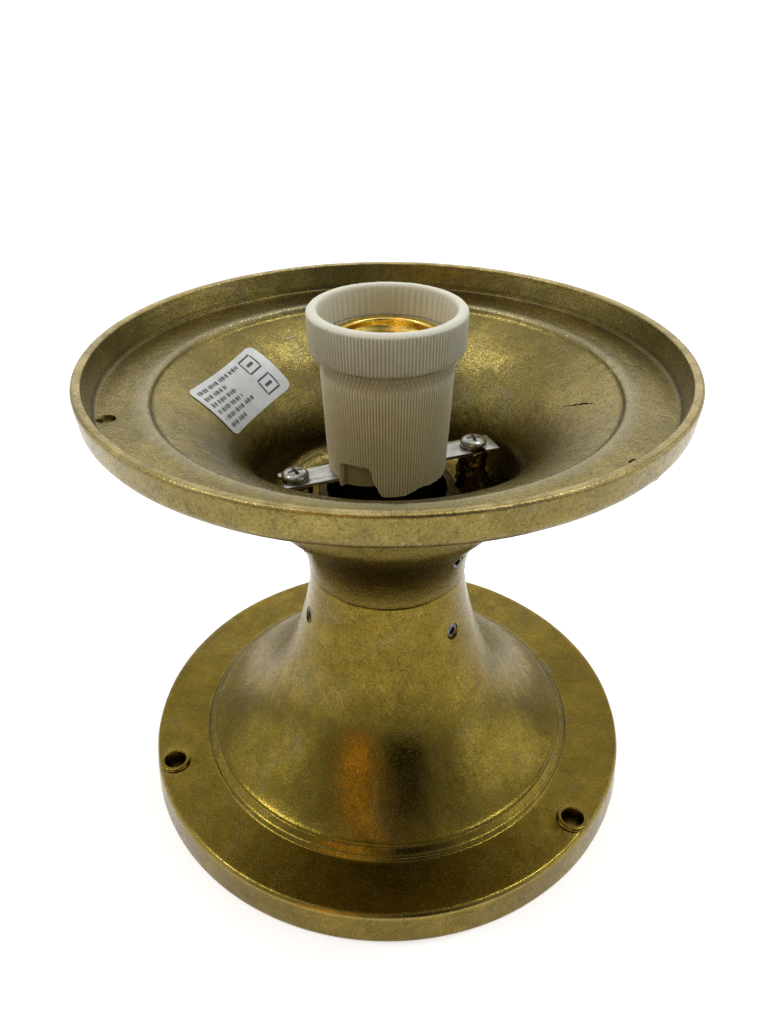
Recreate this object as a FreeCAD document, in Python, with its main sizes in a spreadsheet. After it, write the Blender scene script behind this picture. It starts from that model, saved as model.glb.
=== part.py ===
"""Marine lamp base: two trumpet castings locked on a neck tube, with a porcelain lampholder in the dish.

Millimetres. +Z is up along the lamp's axis, the origin is the centre of the face that the foot stands on.
The strap that carries the lampholder lies along the direction `strap_angle`, measured from +X.
"""
import FreeCAD, Part
import os
import Sketcher

DIMENSIONS = {
    # foot and trumpet of the base casting
    "foot_radius": 78.5,
    "foot_top_radius": 77.8,
    "foot_rise": 10.4,
    "foot_edge_round": 1.7,
    "foot_skirt": 3.7,
    "step_radius": 61.0,
    "trumpet_foot_radius": 57.8,
    "throat_radius": 23.14,
    "throat_level": 80.0,
    "upper_sweep": 95.8,
    "lower_sweep": 50.5,
    "sweep_angle": 26.85,
    "wall": 4.0,
    "seam_level": 72.4,
    "seam_chamfer": 0.5,
    "ledge_level": 46.0,
    "ledge_radius": 18.4,
    "ledge_depth": 3.5,
    # fixing holes of the foot
    "fixing_circle": 72.5,
    "fixing_hole": 3.15,
    "fixing_collar": 4.8,
    "collar_rise": 1.2,
    "first_angle": -40.0,
    # neck tube
    "tube_inner": 17.3,
    "tube_outer": 19.85,
    "tube_top": 99.5,
    "neck_bore": 19.95,
    # dish casting
    "dish_neck_radius": 23.9,
    "neck_flare": 28.0,
    "shoulder_radius": 32.4,
    "shoulder_level": 93.0,
    "shoulder_round": 13.9,
    "shoulder_top": 100.5,
    "horn_centre_radius": 73.5,
    "horn_centre_level": 94.0,
    "horn_sweep": 37.5,
    "bowl_centre_radius": 72.92,
    "bowl_centre_level": 93.44,
    "bowl_sweep": 39.46,
    "floor_level": 94.5,
    "floor_round": 6.0,
    "bowl_edge_radius": 61.0,
    "bowl_bevel": 2.0,
    "annulus_level": 133.2,
    "plate_bottom": 129.3,
    "rim_round": 3.5,
    "rim_bottom_radius": 79.2,
    "rim_bottom_level": 135.2,
    "rim_radius": 79.7,
    "rim_level": 141.0,
    "rim_top_round": 0.8,
    "rim_top_inner": 77.0,
    "rim_foot_inner": 75.6,
    "rim_foot_round": 0.8,
    "guard_circle": 72.5,
    "guard_hole": 2.1,
    "guard_boss": 5.0,
    "guard_boss_bottom": 130.6,
    # posts and strap
    "strap_angle": 21.0,
    "post_circle": 27.0,
    "post_radius": 4.0,
    "post_bottom": 93.0,
    "strap_level": 106.5,
    "strap_thick": 1.0,
    "strap_half_width": 4.25,
    "strap_left_reach": 31.0,
    "strap_right_reach": 33.4,
    "slot_half_width": 2.25,
    # strap screws
    "strap_screw_radius": 2.0,
    "strap_screw_length": 9.0,
    "strap_head_radius": 3.85,
    "strap_head_rise": 2.6,
    "head_dome_radius": 7.4,
    "recess_length": 4.5,
    "recess_width": 1.0,
    "recess_depth": 1.7,
    "recess_turn": 35.0,
    "post_tap_radius": 2.05,
    "post_tap_depth": 11.0,
    # grub screws
    "grub_radius": 2.45,
    "grub_hole": 2.5,
    "grub_length": 5.0,
    "grub_start": 19.95,
    "grub_socket_flat": 2.5,
    "grub_socket_depth": 2.6,
    "lower_grub_level": 58.4,
    "upper_grub_level": 84.5,
    # porcelain lampholder
    "porcelain_bottom": 105.4,
    "porcelain_foot": 16.4,
    "porcelain_neck": 18.15,
    "porcelain_neck_level": 140.0,
    "skirt_bottom_radius": 20.4,
    "skirt_bottom_level": 142.0,
    "skirt_radius": 21.0,
    "porcelain_top": 152.8,
    "lip_round": 1.3,
    "mouth_radius": 18.0,
    "mouth_foot_radius": 17.4,
    "shell_ledge_level": 144.2,
    "shell_cavity": 14.2,
    "cavity_floor": 118.0,
    "pocket_ceiling": 112.5,
    "pocket_inner": 5.3,
    "pocket_outer": 13.2,
    "pocket_half_length": 5.5,
    "strap_channel_top": 107.55,
    "channel_play": 0.2,
    "wire_notch_top": 114.2,
    "wire_notch_angle": 54.5,
    "wire_notch_half_width": 6.5,
    "wire_notch_inner": 12.4,
    # threaded shell
    "thread_crest": 12.3,
    "thread_depth": 1.15,
    "thread_pitch": 3.6,
    "shell_thick": 0.45,
    "shell_floor_hole": 8.8,
    "shell_lip_radius": 15.8,
    "shell_bend": 1.2,
    # contacts and terminals
    "contact_thick": 0.5,
    "contact_half_width": 3.0,
    "contact_bend": 3.6,
    "contact_gap": 0.05,
    "contact_foot": 0.6,
    "contact_heel": 0.15,
    "contact_plate_end": 8.1,
    "contact_tip": 2.6,
    "contact_tip_end": 0.3,
    "contact_rise": 3.6,
    "live_rivet_offset": 6.2,
    "neutral_rivet_offset": 10.5,
    "rivet_radius": 1.3,
    "rivet_head_radius": 1.85,
    "rivet_head_rise": 0.7,
    "terminal_inner": 5.8,
    "terminal_outer": 13.0,
    "terminal_half_length": 4.5,
    "terminal_bottom": 107.6,
    "wire_hole": 1.5,
    "terminal_screw_radius": 1.45,
    "terminal_screw_reach": 1.2,
    "terminal_head_radius": 2.6,
    "terminal_head_rise": 1.5,
    # screws and nuts that hold the porcelain on the strap
    "holder_screw_offset": 5.4,
    "holder_screw_radius": 1.5,
    "holder_screw_hole": 1.6,
    "holder_head_radius": 2.8,
    "holder_head_rise": 2.0,
    "nut_flats": 5.5,
    "nut_rise": 2.2,
    "driver_slot": 0.8,
    # label on the bowl's wall
    "label_angle": 160.0,
    "label_half_sweep": 22.0,
    "label_low_radius": 41.75,
    "label_high_radius": 54.4,
    "label_thick": 0.25,
    # earth terminal inside the foot
    "earth_circle": 66.5,
    "earth_angle": 100.0,
    "earth_boss_radius": 5.0,
    "earth_boss_drop": 2.6,
    "earth_screw_radius": 1.95,
    "earth_hole": 2.0,
    "earth_head_radius": 3.6,
    "earth_head_rise": 2.4,
    "earth_washer_radius": 4.4,
    "earth_washer_thick": 0.8,
    "washer_play": 0.05,
    # how far a cutting tool runs past the face it leaves by
    "overrun": 1.0,
}

LOCK_COUNT = 3
LOCK_STEP = 120.0
THREAD_COUNT = 6

doc = FreeCAD.newDocument("marine_lamp_base")
sheet = doc.addObject("Spreadsheet::Sheet", "dims")
for row, (alias, number) in enumerate(DIMENSIONS.items(), start=1):
    sheet.set(f"A{row}", alias)
    sheet.set(f"B{row}", str(number))
    sheet.setAlias(f"B{row}", alias)
doc.recompute()


def bound(text):
    """Turn every sheet alias in a plain formula into a reference to its cell."""
    words = []
    word = ""
    for letter in text + " ":
        if letter.isalnum() or letter == "_":
            word += letter
            continue
        words.append(f"dims.{word}" if word in DIMENSIONS else word)
        words.append(letter)
        word = ""
    return "".join(words).strip()


def size(text):
    """The value of a formula of sheet aliases, in millimetres or degrees."""
    return float(sheet.evalExpression(bound(text)))


def bind(item, **formulas):
    """Bind the properties of a document object to formulas of sheet aliases."""
    for name, text in formulas.items():
        item.setExpression(name, bound(text))


def pin_vertex(sketch, edge, end, across, up):
    """Hold one end of a sketch edge at a distance across and up from the sketch's origin."""
    if across == "0":
        sketch.addConstraint(Sketcher.Constraint("PointOnObject", edge, end, -2))
    else:
        index = sketch.addConstraint(Sketcher.Constraint("DistanceX", -1, 1, edge, end, size(across)))
        sketch.setExpression(f"Constraints[{index}]", bound(across))
    if up == "0":
        sketch.addConstraint(Sketcher.Constraint("PointOnObject", edge, end, -1))
    else:
        index = sketch.addConstraint(Sketcher.Constraint("DistanceY", -1, 1, edge, end, size(up)))
        sketch.setExpression(f"Constraints[{index}]", bound(up))


def arc_between(start, end, radius, turn):
    """The short arc of a given radius from start to end; turn +1 is anticlockwise, -1 clockwise."""
    chord = end - start
    half = chord.Length / 2
    normal = FreeCAD.Vector(-chord.y, chord.x, 0).normalize()
    offset = (radius ** 2 - half ** 2) ** 0.5
    centre = start + chord / 2 + normal * offset * turn
    middle = centre + (start + chord / 2 - centre).normalize() * radius
    return Part.Arc(start, middle, end)


def outline(sketch, steps):
    """Close an outline of corners: (across, up), or (across, up, radius, turn) at the end of an arc."""
    places = [FreeCAD.Vector(size(step[0]), size(step[1]), 0) for step in steps]
    count = len(steps)
    for i in range(count):
        start = places[i]
        end = places[(i + 1) % count]
        target = steps[(i + 1) % count]
        if len(target) == 2:
            sketch.addGeometry(Part.LineSegment(start, end), False)
            continue
        curve = arc_between(start, end, size(target[2]), target[3])
        sketch.addGeometry(curve, False)
    ends = []
    for i in range(count):
        clockwise = len(steps[(i + 1) % count]) == 4 and steps[(i + 1) % count][3] < 0
        ends.append((2, 1) if clockwise else (1, 2))
    for i in range(count):
        after = (i + 1) % count
        sketch.addConstraint(Sketcher.Constraint("Coincident", i, ends[i][1], after, ends[after][0]))
        pin_vertex(sketch, i, ends[i][0], steps[i][0], steps[i][1])
    for i in range(count):
        target = steps[(i + 1) % count]
        if len(target) == 4:
            index = sketch.addConstraint(Sketcher.Constraint("Radius", i, size(target[2])))
            sketch.setExpression(f"Constraints[{index}]", bound(target[2]))


def origin_plane(body, role):
    """The origin plane of a body, such as XY_Plane."""
    return next(item for item in body.Origin.OriginFeatures if item.Role == role)


def new_sketch(body, name, role, turn=None):
    """A sketch on an origin plane of its body, turned by the sheet angle `turn` about the body's Z axis."""
    sketch = body.newObject("Sketcher::SketchObject", name)
    sketch.AttachmentSupport = (origin_plane(body, role), [""])
    sketch.MapMode = "FlatFace"
    if turn is not None:
        axis = FreeCAD.Vector(0, 0, 1) if role == "XY_Plane" else FreeCAD.Vector(0, 1, 0)
        sketch.AttachmentOffset = FreeCAD.Placement(FreeCAD.Vector(), FreeCAD.Rotation(axis, size(turn)))
    return sketch


def new_body(label):
    """An empty body whose label names its node."""
    body = doc.addObject("PartDesign::Body", label)
    body.Label = label
    return body


def revolved(label, steps):
    """A body turned about Z from a closed outline of (radius, height) corners."""
    body = new_body(label)
    sketch = new_sketch(body, f"{label}_outline", "XZ_Plane")
    outline(sketch, steps)
    turned = body.newObject("PartDesign::Revolution", f"{label}_turned")
    turned.Profile = sketch
    turned.ReferenceAxis = (sketch, ["V_Axis"])
    turned.Angle = 360.0
    doc.recompute()
    return body


def round_spot(body, name, across, radius, turn):
    """A circle on the XY plane, `across` from the axis in the direction of the sheet angle `turn`."""
    sketch = new_sketch(body, name, "XY_Plane", turn)
    place = FreeCAD.Vector(size(across), 0, 0)
    sketch.addGeometry(Part.Circle(place, FreeCAD.Vector(0, 0, 1), size(radius)), False)
    pin_vertex(sketch, 0, 3, across, "0")
    index = sketch.addConstraint(Sketcher.Constraint("Radius", 0, size(radius)))
    sketch.setExpression(f"Constraints[{index}]", bound(radius))
    return sketch


def copies(body, feature, count):
    """Repeat a feature at equal angles about the body's Z axis."""
    pattern = body.newObject("PartDesign::PolarPattern", f"{feature.Name}_ring")
    pattern.Originals = [feature]
    pattern.Axis = (next(item for item in body.Origin.OriginFeatures if item.Role == "Z_Axis"), [""])
    pattern.Angle = 360.0
    pattern.Occurrences = count
    body.Tip = pattern
    doc.recompute()


def ring_of_posts(body, name, across, radius, bottom, top, count, turn):
    """Add upright posts between two heights, spread evenly round the axis."""
    sketch = round_spot(body, f"{name}_spot", across, radius, turn)
    sketch.AttachmentOffset = FreeCAD.Placement(
        FreeCAD.Vector(0, 0, size(bottom)), FreeCAD.Rotation(FreeCAD.Vector(0, 0, 1), size(turn))
    )
    sketch.setExpression("AttachmentOffset.Base.z", bound(bottom))
    pad = body.newObject("PartDesign::Pad", name)
    pad.Profile = sketch
    bind(pad, Length=f"({top}) - ({bottom})")
    doc.recompute()
    copies(body, pad, count)


def ring_of_holes(body, name, across, radius, bottom, top, count, turn):
    """Cut upright round holes between two heights, spread evenly round the axis."""
    volume = body.Shape.Volume
    sketch = round_spot(body, f"{name}_spot", across, radius, turn)
    sketch.AttachmentOffset = FreeCAD.Placement(
        FreeCAD.Vector(0, 0, size(bottom)), FreeCAD.Rotation(FreeCAD.Vector(0, 0, 1), size(turn))
    )
    sketch.setExpression("AttachmentOffset.Base.z", bound(bottom))
    pocket = body.newObject("PartDesign::Pocket", name)
    pocket.Profile = sketch
    pocket.Reversed = True
    bind(pocket, Length=f"({top}) - ({bottom})")
    doc.recompute()
    copies(body, pocket, count)
    check_cut(body, volume, name)


def ring_of_radial_holes(body, name, level, radius, reach):
    """Cut the grub screw holes, which point outward from the axis."""
    volume = body.Shape.Volume
    sketch = new_sketch(body, f"{name}_spot", "YZ_Plane", "first_angle")
    place = FreeCAD.Vector(0, size(level), 0)
    sketch.addGeometry(Part.Circle(place, FreeCAD.Vector(0, 0, 1), size(radius)), False)
    pin_vertex(sketch, 0, 3, "0", level)
    index = sketch.addConstraint(Sketcher.Constraint("Radius", 0, size(radius)))
    sketch.setExpression(f"Constraints[{index}]", bound(radius))
    pocket = body.newObject("PartDesign::Pocket", name)
    pocket.Profile = sketch
    pocket.Reversed = True
    bind(pocket, Length=reach)
    doc.recompute()
    copies(body, pocket, LOCK_COUNT)
    check_cut(body, volume, name)


def check_cut(body, volume, name):
    """A pocket that points away from the solid removes nothing, which is an error here."""
    if body.Shape.Volume >= volume:
        raise RuntimeError(f"{name} cuts nothing")


def cylinder(label, radius, rise):
    """An upright cylinder on the origin."""
    item = doc.addObject("Part::Cylinder", label)
    item.Label = label
    bind(item, Radius=radius, Height=rise)
    return item


def box(label, length, width, rise):
    """A box with one corner on the origin."""
    item = doc.addObject("Part::Box", label)
    item.Label = label
    bind(item, Length=length, Width=width, Height=rise)
    return item


def place(item, x="0", y="0", z="0", turn="0", tilt=0.0):
    """Put an object at a point that a turn about Z carries round; tilt first lays its axis towards +X."""
    turned = FreeCAD.Rotation(FreeCAD.Vector(0, 0, 1), size(turn))
    laid = FreeCAD.Rotation(FreeCAD.Vector(0, 1, 0), tilt)
    point = turned.multVec(FreeCAD.Vector(size(x), size(y), size(z)))
    item.Placement = FreeCAD.Placement(point, turned.multiply(laid))
    return item


def fused(label, *items):
    """One piece made of several objects."""
    joined = doc.addObject("Part::MultiFuse", label)
    joined.Label = label
    joined.Shapes = list(items)
    return joined


def cut(label, base, *tools):
    """One piece with other objects taken away from it."""
    tool = tools[0] if len(tools) == 1 else fused(f"{label}_tools", *tools)
    item = doc.addObject("Part::Cut", label)
    item.Label = label
    item.Base = base
    item.Tool = tool
    return item


def hexagon(label, flats, rise):
    """An upright hexagonal prism on the origin, `flats` across."""
    item = doc.addObject("Part::Prism", label)
    item.Polygon = 6
    bind(item, Circumradius=f"{flats} / sqrt(3)", Height=rise)
    return item


def trumpet_point(name):
    """Formulas of the base casting's sweeps: centres of the two arcs and the corner where they meet."""
    switch_r = "(throat_radius + upper_sweep * (1 - cos(sweep_angle * 1deg)))"
    switch_z = "(throat_level - upper_sweep * sin(sweep_angle * 1deg))"
    formulas = {
        "upper_r": "(throat_radius + upper_sweep)",
        "switch_r": switch_r,
        "switch_z": switch_z,
        "lower_r": f"({switch_r} + lower_sweep * cos(sweep_angle * 1deg))",
        "lower_z": f"({switch_z} + lower_sweep * sin(sweep_angle * 1deg))",
    }
    return formulas[name]


def upper_arc_radius_at(level, sweep):
    """Radius of the upper sweep at a height."""
    return f"({trumpet_point('upper_r')} - sqrt(({sweep})^2 - (throat_level - {level})^2))"


def lower_arc_level_at(radius, sweep):
    """Height of the lower sweep at a radius."""
    return f"({trumpet_point('lower_z')} - sqrt(({sweep})^2 - ({trumpet_point('lower_r')} - {radius})^2))"


def base_casting():
    """Foot, trumpet and lower neck, hollow below, with the tube's bore and three fixing bosses."""
    inner_upper = "upper_sweep + wall"
    inner_lower = "lower_sweep + wall"
    ledge_bottom = "(ledge_level - ledge_depth)"
    inner_switch_r = f"({trumpet_point('upper_r')} - ({inner_upper}) * cos(sweep_angle * 1deg))"
    inner_switch_z = f"(throat_level - ({inner_upper}) * sin(sweep_angle * 1deg))"
    neck_corner = "(seam_level - seam_chamfer)"
    foot_level = lower_arc_level_at("trumpet_foot_radius", "lower_sweep")
    body = revolved("base_casting", [
        ("foot_radius", "0"),
        ("foot_top_radius", "foot_rise - foot_edge_round"),
        ("foot_top_radius - foot_edge_round", "foot_rise", "foot_edge_round", 1),
        ("step_radius", "foot_rise"),
        ("trumpet_foot_radius", foot_level),
        (trumpet_point("switch_r"), trumpet_point("switch_z"), "lower_sweep", -1),
        (upper_arc_radius_at(neck_corner, "upper_sweep"), neck_corner, "upper_sweep", -1),
        (f"{upper_arc_radius_at(neck_corner, 'upper_sweep')} - seam_chamfer", "seam_level"),
        ("neck_bore", "seam_level"),
        ("neck_bore", "ledge_level"),
        ("ledge_radius", "ledge_level"),
        ("ledge_radius", ledge_bottom),
        (upper_arc_radius_at(ledge_bottom, inner_upper), ledge_bottom),
        (inner_switch_r, inner_switch_z, inner_upper, 1),
        ("trumpet_foot_radius", lower_arc_level_at("trumpet_foot_radius", inner_lower), inner_lower, 1),
        ("step_radius", "foot_rise - wall"),
        ("foot_top_radius - foot_skirt", "foot_rise - wall"),
        ("foot_radius - foot_skirt", "0"),
    ])
    ring_of_posts(body, "fixing_boss", "fixing_circle", "fixing_collar", "0", "foot_rise + collar_rise",
                  LOCK_COUNT, "first_angle")
    ring_of_posts(body, "earth_boss", "earth_circle", "earth_boss_radius",
                  "foot_rise - wall - earth_boss_drop", "foot_rise - wall / 2", 1, "earth_angle")
    ring_of_holes(body, "fixing_hole_cut", "fixing_circle", "fixing_hole", "0",
                  "foot_rise + collar_rise + overrun", LOCK_COUNT, "first_angle")
    ring_of_holes(body, "earth_hole_cut", "earth_circle", "earth_hole",
                  "foot_rise - wall - 2 * earth_boss_drop", "foot_rise - wall / 2", 1, "earth_angle")
    ring_of_radial_holes(body, "lower_grub_hole", "lower_grub_level", "grub_hole", "foot_radius / 2")
    return body


def dish_casting():
    """Upper neck, horn-shaped bowl, annulus and rim, with two strap posts and three guard bosses."""
    edge_level = "(bowl_centre_level + sqrt(bowl_sweep^2 - (bowl_centre_radius - bowl_edge_radius)^2))"
    plate_radius = "(horn_centre_radius - sqrt(horn_sweep^2 - (plate_bottom - horn_centre_level)^2))"
    shoulder_top_r = "(horn_centre_radius - sqrt(horn_sweep^2 - (shoulder_top - horn_centre_level)^2))"
    wall_foot = "(floor_level + floor_round)"
    wall_foot_r = f"(bowl_centre_radius - sqrt(bowl_sweep^2 - ({wall_foot} - bowl_centre_level)^2))"
    body = revolved("dish_casting", [
        ("neck_bore", "seam_level"),
        ("dish_neck_radius - seam_chamfer", "seam_level"),
        ("dish_neck_radius", "seam_level + seam_chamfer"),
        ("shoulder_radius", "shoulder_level", "neck_flare", -1),
        (shoulder_top_r, "shoulder_top", "shoulder_round", 1),
        (plate_radius, "plate_bottom", "horn_sweep", -1),
        ("rim_bottom_radius - rim_round", "rim_bottom_level - rim_round"),
        ("rim_bottom_radius", "rim_bottom_level", "rim_round", 1),
        ("rim_radius", "rim_level - rim_top_round"),
        ("rim_radius - rim_top_round", "rim_level", "rim_top_round", 1),
        ("rim_top_inner", "rim_level"),
        ("rim_foot_inner", "annulus_level + rim_foot_round"),
        ("rim_foot_inner - rim_foot_round", "annulus_level", "rim_foot_round", -1),
        ("bowl_edge_radius + bowl_bevel", "annulus_level"),
        ("bowl_edge_radius", edge_level),
        (wall_foot_r, wall_foot, "bowl_sweep", 1),
        (f"{wall_foot_r} - floor_round", "floor_level", "floor_round", -1),
        ("neck_bore", "floor_level"),
    ])
    ring_of_posts(body, "strap_post", "post_circle", "post_radius", "post_bottom", "strap_level", 2,
                  "strap_angle")
    ring_of_posts(body, "guard_boss_pad", "guard_circle", "guard_boss", "guard_boss_bottom",
                  "annulus_level", LOCK_COUNT, "first_angle")
    ring_of_holes(body, "post_tap", "post_circle", "post_tap_radius", "strap_level - post_tap_depth",
                  "strap_level + strap_thick", 2, "strap_angle")
    ring_of_holes(body, "guard_tap", "guard_circle", "guard_hole", "plate_bottom - overrun",
                  "annulus_level + overrun", LOCK_COUNT, "first_angle")
    ring_of_radial_holes(body, "upper_grub_hole", "upper_grub_level", "grub_hole", "foot_radius / 2")
    return body


def neck_tube():
    """Plain tube that both castings fit over, standing on the base casting's ledge."""
    return revolved("neck_tube", [
        ("tube_inner", "ledge_level"),
        ("tube_outer", "ledge_level"),
        ("tube_outer", "tube_top - seam_chamfer"),
        ("tube_outer - seam_chamfer", "tube_top"),
        ("tube_inner", "tube_top"),
    ])


def grub_screw(label, level, radius, index):
    """A short headless screw with a hex socket, lying along a radius of the neck."""
    shank = cylinder(f"{label}_shank", radius, "grub_length")
    socket = hexagon(f"{label}_socket", "grub_socket_flat", "grub_socket_depth")
    angle = f"first_angle + {index * LOCK_STEP}"
    place(shank, "grub_start", "0", level, angle, 90.0)
    place(socket, "grub_start + grub_length - grub_socket_depth", "0", level, angle, 90.0)
    return cut(label, shank, socket)


def strap_screw(label, side):
    """Pan-head screw of a strap post: threaded shank, domed head and a cross recess."""
    shank = cylinder(f"{label}_shank", "strap_screw_radius", "strap_screw_length + strap_thick")
    head = cylinder(f"{label}_head", "strap_head_radius", "strap_head_rise")
    dome = doc.addObject("Part::Sphere", f"{label}_dome")
    bind(dome, Radius="head_dome_radius")
    rounded = doc.addObject("Part::MultiCommon", f"{label}_rounded")
    rounded.Shapes = [head, dome]
    across = f"{side} * post_circle"
    top = "(strap_level + strap_thick)"
    place(shank, across, "0", f"{top} - strap_thick - strap_screw_length", "strap_angle")
    place(head, across, "0", top, "strap_angle")
    place(dome, across, "0", f"{top} + strap_head_rise - head_dome_radius", "strap_angle")
    blades = []
    for blade in range(2):
        bar = box(f"{label}_blade_{blade}", "recess_length", "recess_width", "recess_depth + overrun")
        turned = FreeCAD.Rotation(FreeCAD.Vector(0, 0, 1), size(f"recess_turn + {blade} * 90"))
        middle = FreeCAD.Rotation(FreeCAD.Vector(0, 0, 1), size("strap_angle")).multVec(
            FreeCAD.Vector(size(across), 0, size(f"{top} + strap_head_rise - recess_depth"))
        )
        corner = FreeCAD.Vector(-size("recess_length / 2"), -size("recess_width / 2"), 0)
        bar.Placement = FreeCAD.Placement(middle + turned.multVec(corner), turned)
        blades.append(bar)
    return cut(label, fused(f"{label}_blank", shank, rounded), *blades)


def holder_bracket():
    """Plated strap with a slot open at its left end, a slot open at its right side and two holder holes."""
    strip = box("strap_strip", "strap_left_reach + strap_right_reach", "2 * strap_half_width", "strap_thick")
    place(strip, "0 - strap_left_reach", "0 - strap_half_width", "strap_level", "strap_angle")
    tall = "3 * strap_thick"
    under = "strap_level - strap_thick"
    left_hole = cylinder("left_slot_end", "slot_half_width", tall)
    place(left_hole, "0 - post_circle", "0", under, "strap_angle")
    left_slot = box("left_slot", "strap_left_reach - post_circle + overrun", "2 * slot_half_width", tall)
    place(left_slot, "0 - strap_left_reach - overrun", "0 - slot_half_width", under, "strap_angle")
    right_hole = cylinder("right_slot_end", "slot_half_width", tall)
    place(right_hole, "post_circle", "0", under, "strap_angle")
    right_slot = box("right_slot", "2 * slot_half_width", "strap_half_width + overrun", tall)
    place(right_slot, "post_circle - slot_half_width", "0 - strap_half_width - overrun", under,
          "strap_angle")
    holes = []
    for side in (-1, 1):
        hole = cylinder(f"strap_hole_{side + 2}", "holder_screw_hole", tall)
        holes.append(place(hole, f"{side} * holder_screw_offset", "0", under, "strap_angle"))
    return cut("holder_bracket", strip, left_hole, left_slot, right_hole, right_slot, *holes)


def lampholder_body():
    """Porcelain body with a skirt, a shell cavity, terminal pockets, a strap channel and a wire notch."""
    turned = revolved("lampholder_blank", [
        ("0", "porcelain_bottom"),
        ("porcelain_foot", "porcelain_bottom"),
        ("porcelain_neck", "porcelain_neck_level"),
        ("skirt_bottom_radius", "skirt_bottom_level"),
        ("skirt_radius", "porcelain_top - lip_round"),
        ("skirt_radius - lip_round", "porcelain_top", "lip_round", 1),
        ("mouth_radius + lip_round / 2", "porcelain_top"),
        ("mouth_radius", "porcelain_top - lip_round / 2", "lip_round / 2", 1),
        ("mouth_foot_radius", "shell_ledge_level"),
        ("shell_cavity", "shell_ledge_level"),
        ("shell_cavity", "cavity_floor"),
        ("0", "cavity_floor"),
    ])
    depth = "pocket_ceiling - porcelain_bottom + overrun"
    width = "pocket_outer - pocket_inner"
    tools = []
    for name, start in (("back", "pocket_inner"), ("front", "0 - pocket_outer")):
        pocket = box(f"{name}_pocket", "2 * pocket_half_length", width, depth)
        tools.append(place(pocket, "0 - pocket_half_length", start, "porcelain_bottom - overrun",
                           "strap_angle"))
    channel = box("strap_channel", "2 * skirt_radius", "2 * (strap_half_width + channel_play)",
                  "strap_channel_top - porcelain_bottom + overrun")
    tools.append(place(channel, "0 - skirt_radius", "0 - strap_half_width - channel_play",
                       "porcelain_bottom - overrun", "strap_angle"))
    notch = box("wire_notch", "skirt_radius - wire_notch_inner", "2 * wire_notch_half_width",
                "wire_notch_top - porcelain_bottom + overrun")
    tools.append(place(notch, "0 - skirt_radius", "0 - wire_notch_half_width", "porcelain_bottom - overrun",
                       "wire_notch_angle"))
    for side in (-1, 1):
        hole = cylinder(f"holder_hole_{side + 2}", "holder_screw_hole", "cavity_floor - porcelain_bottom")
        tools.append(place(hole, f"{side} * holder_screw_offset", "0", "porcelain_bottom", "strap_angle"))
    for name, across in (("live", "live_rivet_offset"), ("neutral", "0 - neutral_rivet_offset")):
        hole = cylinder(f"{name}_rivet_hole", "rivet_radius", "cavity_floor - pocket_ceiling")
        tools.append(place(hole, "0", across, "pocket_ceiling", "strap_angle"))
    return cut("lampholder_body", turned, *tools)


def threaded_shell():
    """Thin rolled shell: a floor ring, rounded threads and a lip that rests on the porcelain's ledge."""
    start = "(cavity_floor + shell_thick + shell_bend)"
    outside = []
    inside = []
    for turn in range(THREAD_COUNT):
        low = f"{start} + {turn} * thread_pitch"
        outside.append(("thread_crest + shell_thick", low))
        outside.append(("thread_crest + thread_depth + shell_thick", f"{low} + thread_pitch / 2"))
        inside.append(("thread_crest", low))
        inside.append(("thread_crest + thread_depth", f"{low} + thread_pitch / 2"))
    last = f"{start} + {THREAD_COUNT} * thread_pitch"
    outside.append(("thread_crest + shell_thick", last))
    inside.append(("thread_crest", last))
    wide = "thread_crest + thread_depth + shell_thick"
    steps = [("shell_floor_hole", "cavity_floor"), (wide, "cavity_floor")]
    steps += outside
    steps += [
        (wide, "shell_ledge_level - shell_bend"),
        (wide, "shell_ledge_level"),
        ("shell_lip_radius", "shell_ledge_level"),
        ("shell_lip_radius", "shell_ledge_level + shell_thick"),
        ("thread_crest + thread_depth", "shell_ledge_level + shell_thick"),
        ("thread_crest + thread_depth", "shell_ledge_level - shell_bend"),
    ]
    steps += inside[::-1]
    steps += [
        ("thread_crest + thread_depth - shell_thick", "cavity_floor + shell_thick"),
        ("shell_floor_hole", "cavity_floor + shell_thick"),
    ]
    shell = revolved("shell_blank", steps)
    hole = cylinder("shell_rivet_hole", "rivet_radius", "shell_thick")
    place(hole, "0", "0 - neutral_rivet_offset", "cavity_floor", "strap_angle")
    return cut("threaded_shell", shell, hole)


def contact_plate():
    """Flat foot of the centre contact, riveted to the porcelain's floor."""
    plate = box("plate_strip", "2 * contact_half_width", "contact_plate_end - contact_bend", "contact_thick")
    place(plate, "0 - contact_half_width", "contact_bend", "cavity_floor", "strap_angle")
    hole = cylinder("plate_hole", "rivet_radius", "3 * contact_thick")
    place(hole, "0", "live_rivet_offset", "cavity_floor - contact_thick", "strap_angle")
    return cut("contact_plate", plate, hole)


def centre_contact():
    """Sprung leaf that rises from the plate's bend to a flat tip under the lamp's cap."""
    body = new_body("centre_contact")
    sketch = new_sketch(body, "leaf_outline", "YZ_Plane")
    bend = "contact_bend - contact_gap"
    low = "cavity_floor"
    corners = [
        (bend, low),
        (bend, f"{low} + contact_thick"),
        ("contact_tip", f"{low} + contact_rise + contact_thick"),
        ("contact_tip_end", f"{low} + contact_rise + contact_thick"),
        ("contact_tip_end", f"{low} + contact_rise"),
        ("contact_tip - contact_thick / 2", f"{low} + contact_rise"),
        (f"{bend} - contact_foot", f"{low} + contact_heel"),
    ]
    outline(sketch, corners)
    pad = body.newObject("PartDesign::Pad", "leaf")
    pad.Profile = sketch
    pad.Midplane = True
    bind(pad, Length="2 * contact_half_width")
    body.Placement = FreeCAD.Placement(
        FreeCAD.Vector(), FreeCAD.Rotation(FreeCAD.Vector(0, 0, 1), size("strap_angle"))
    )
    doc.recompute()
    return body


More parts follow.
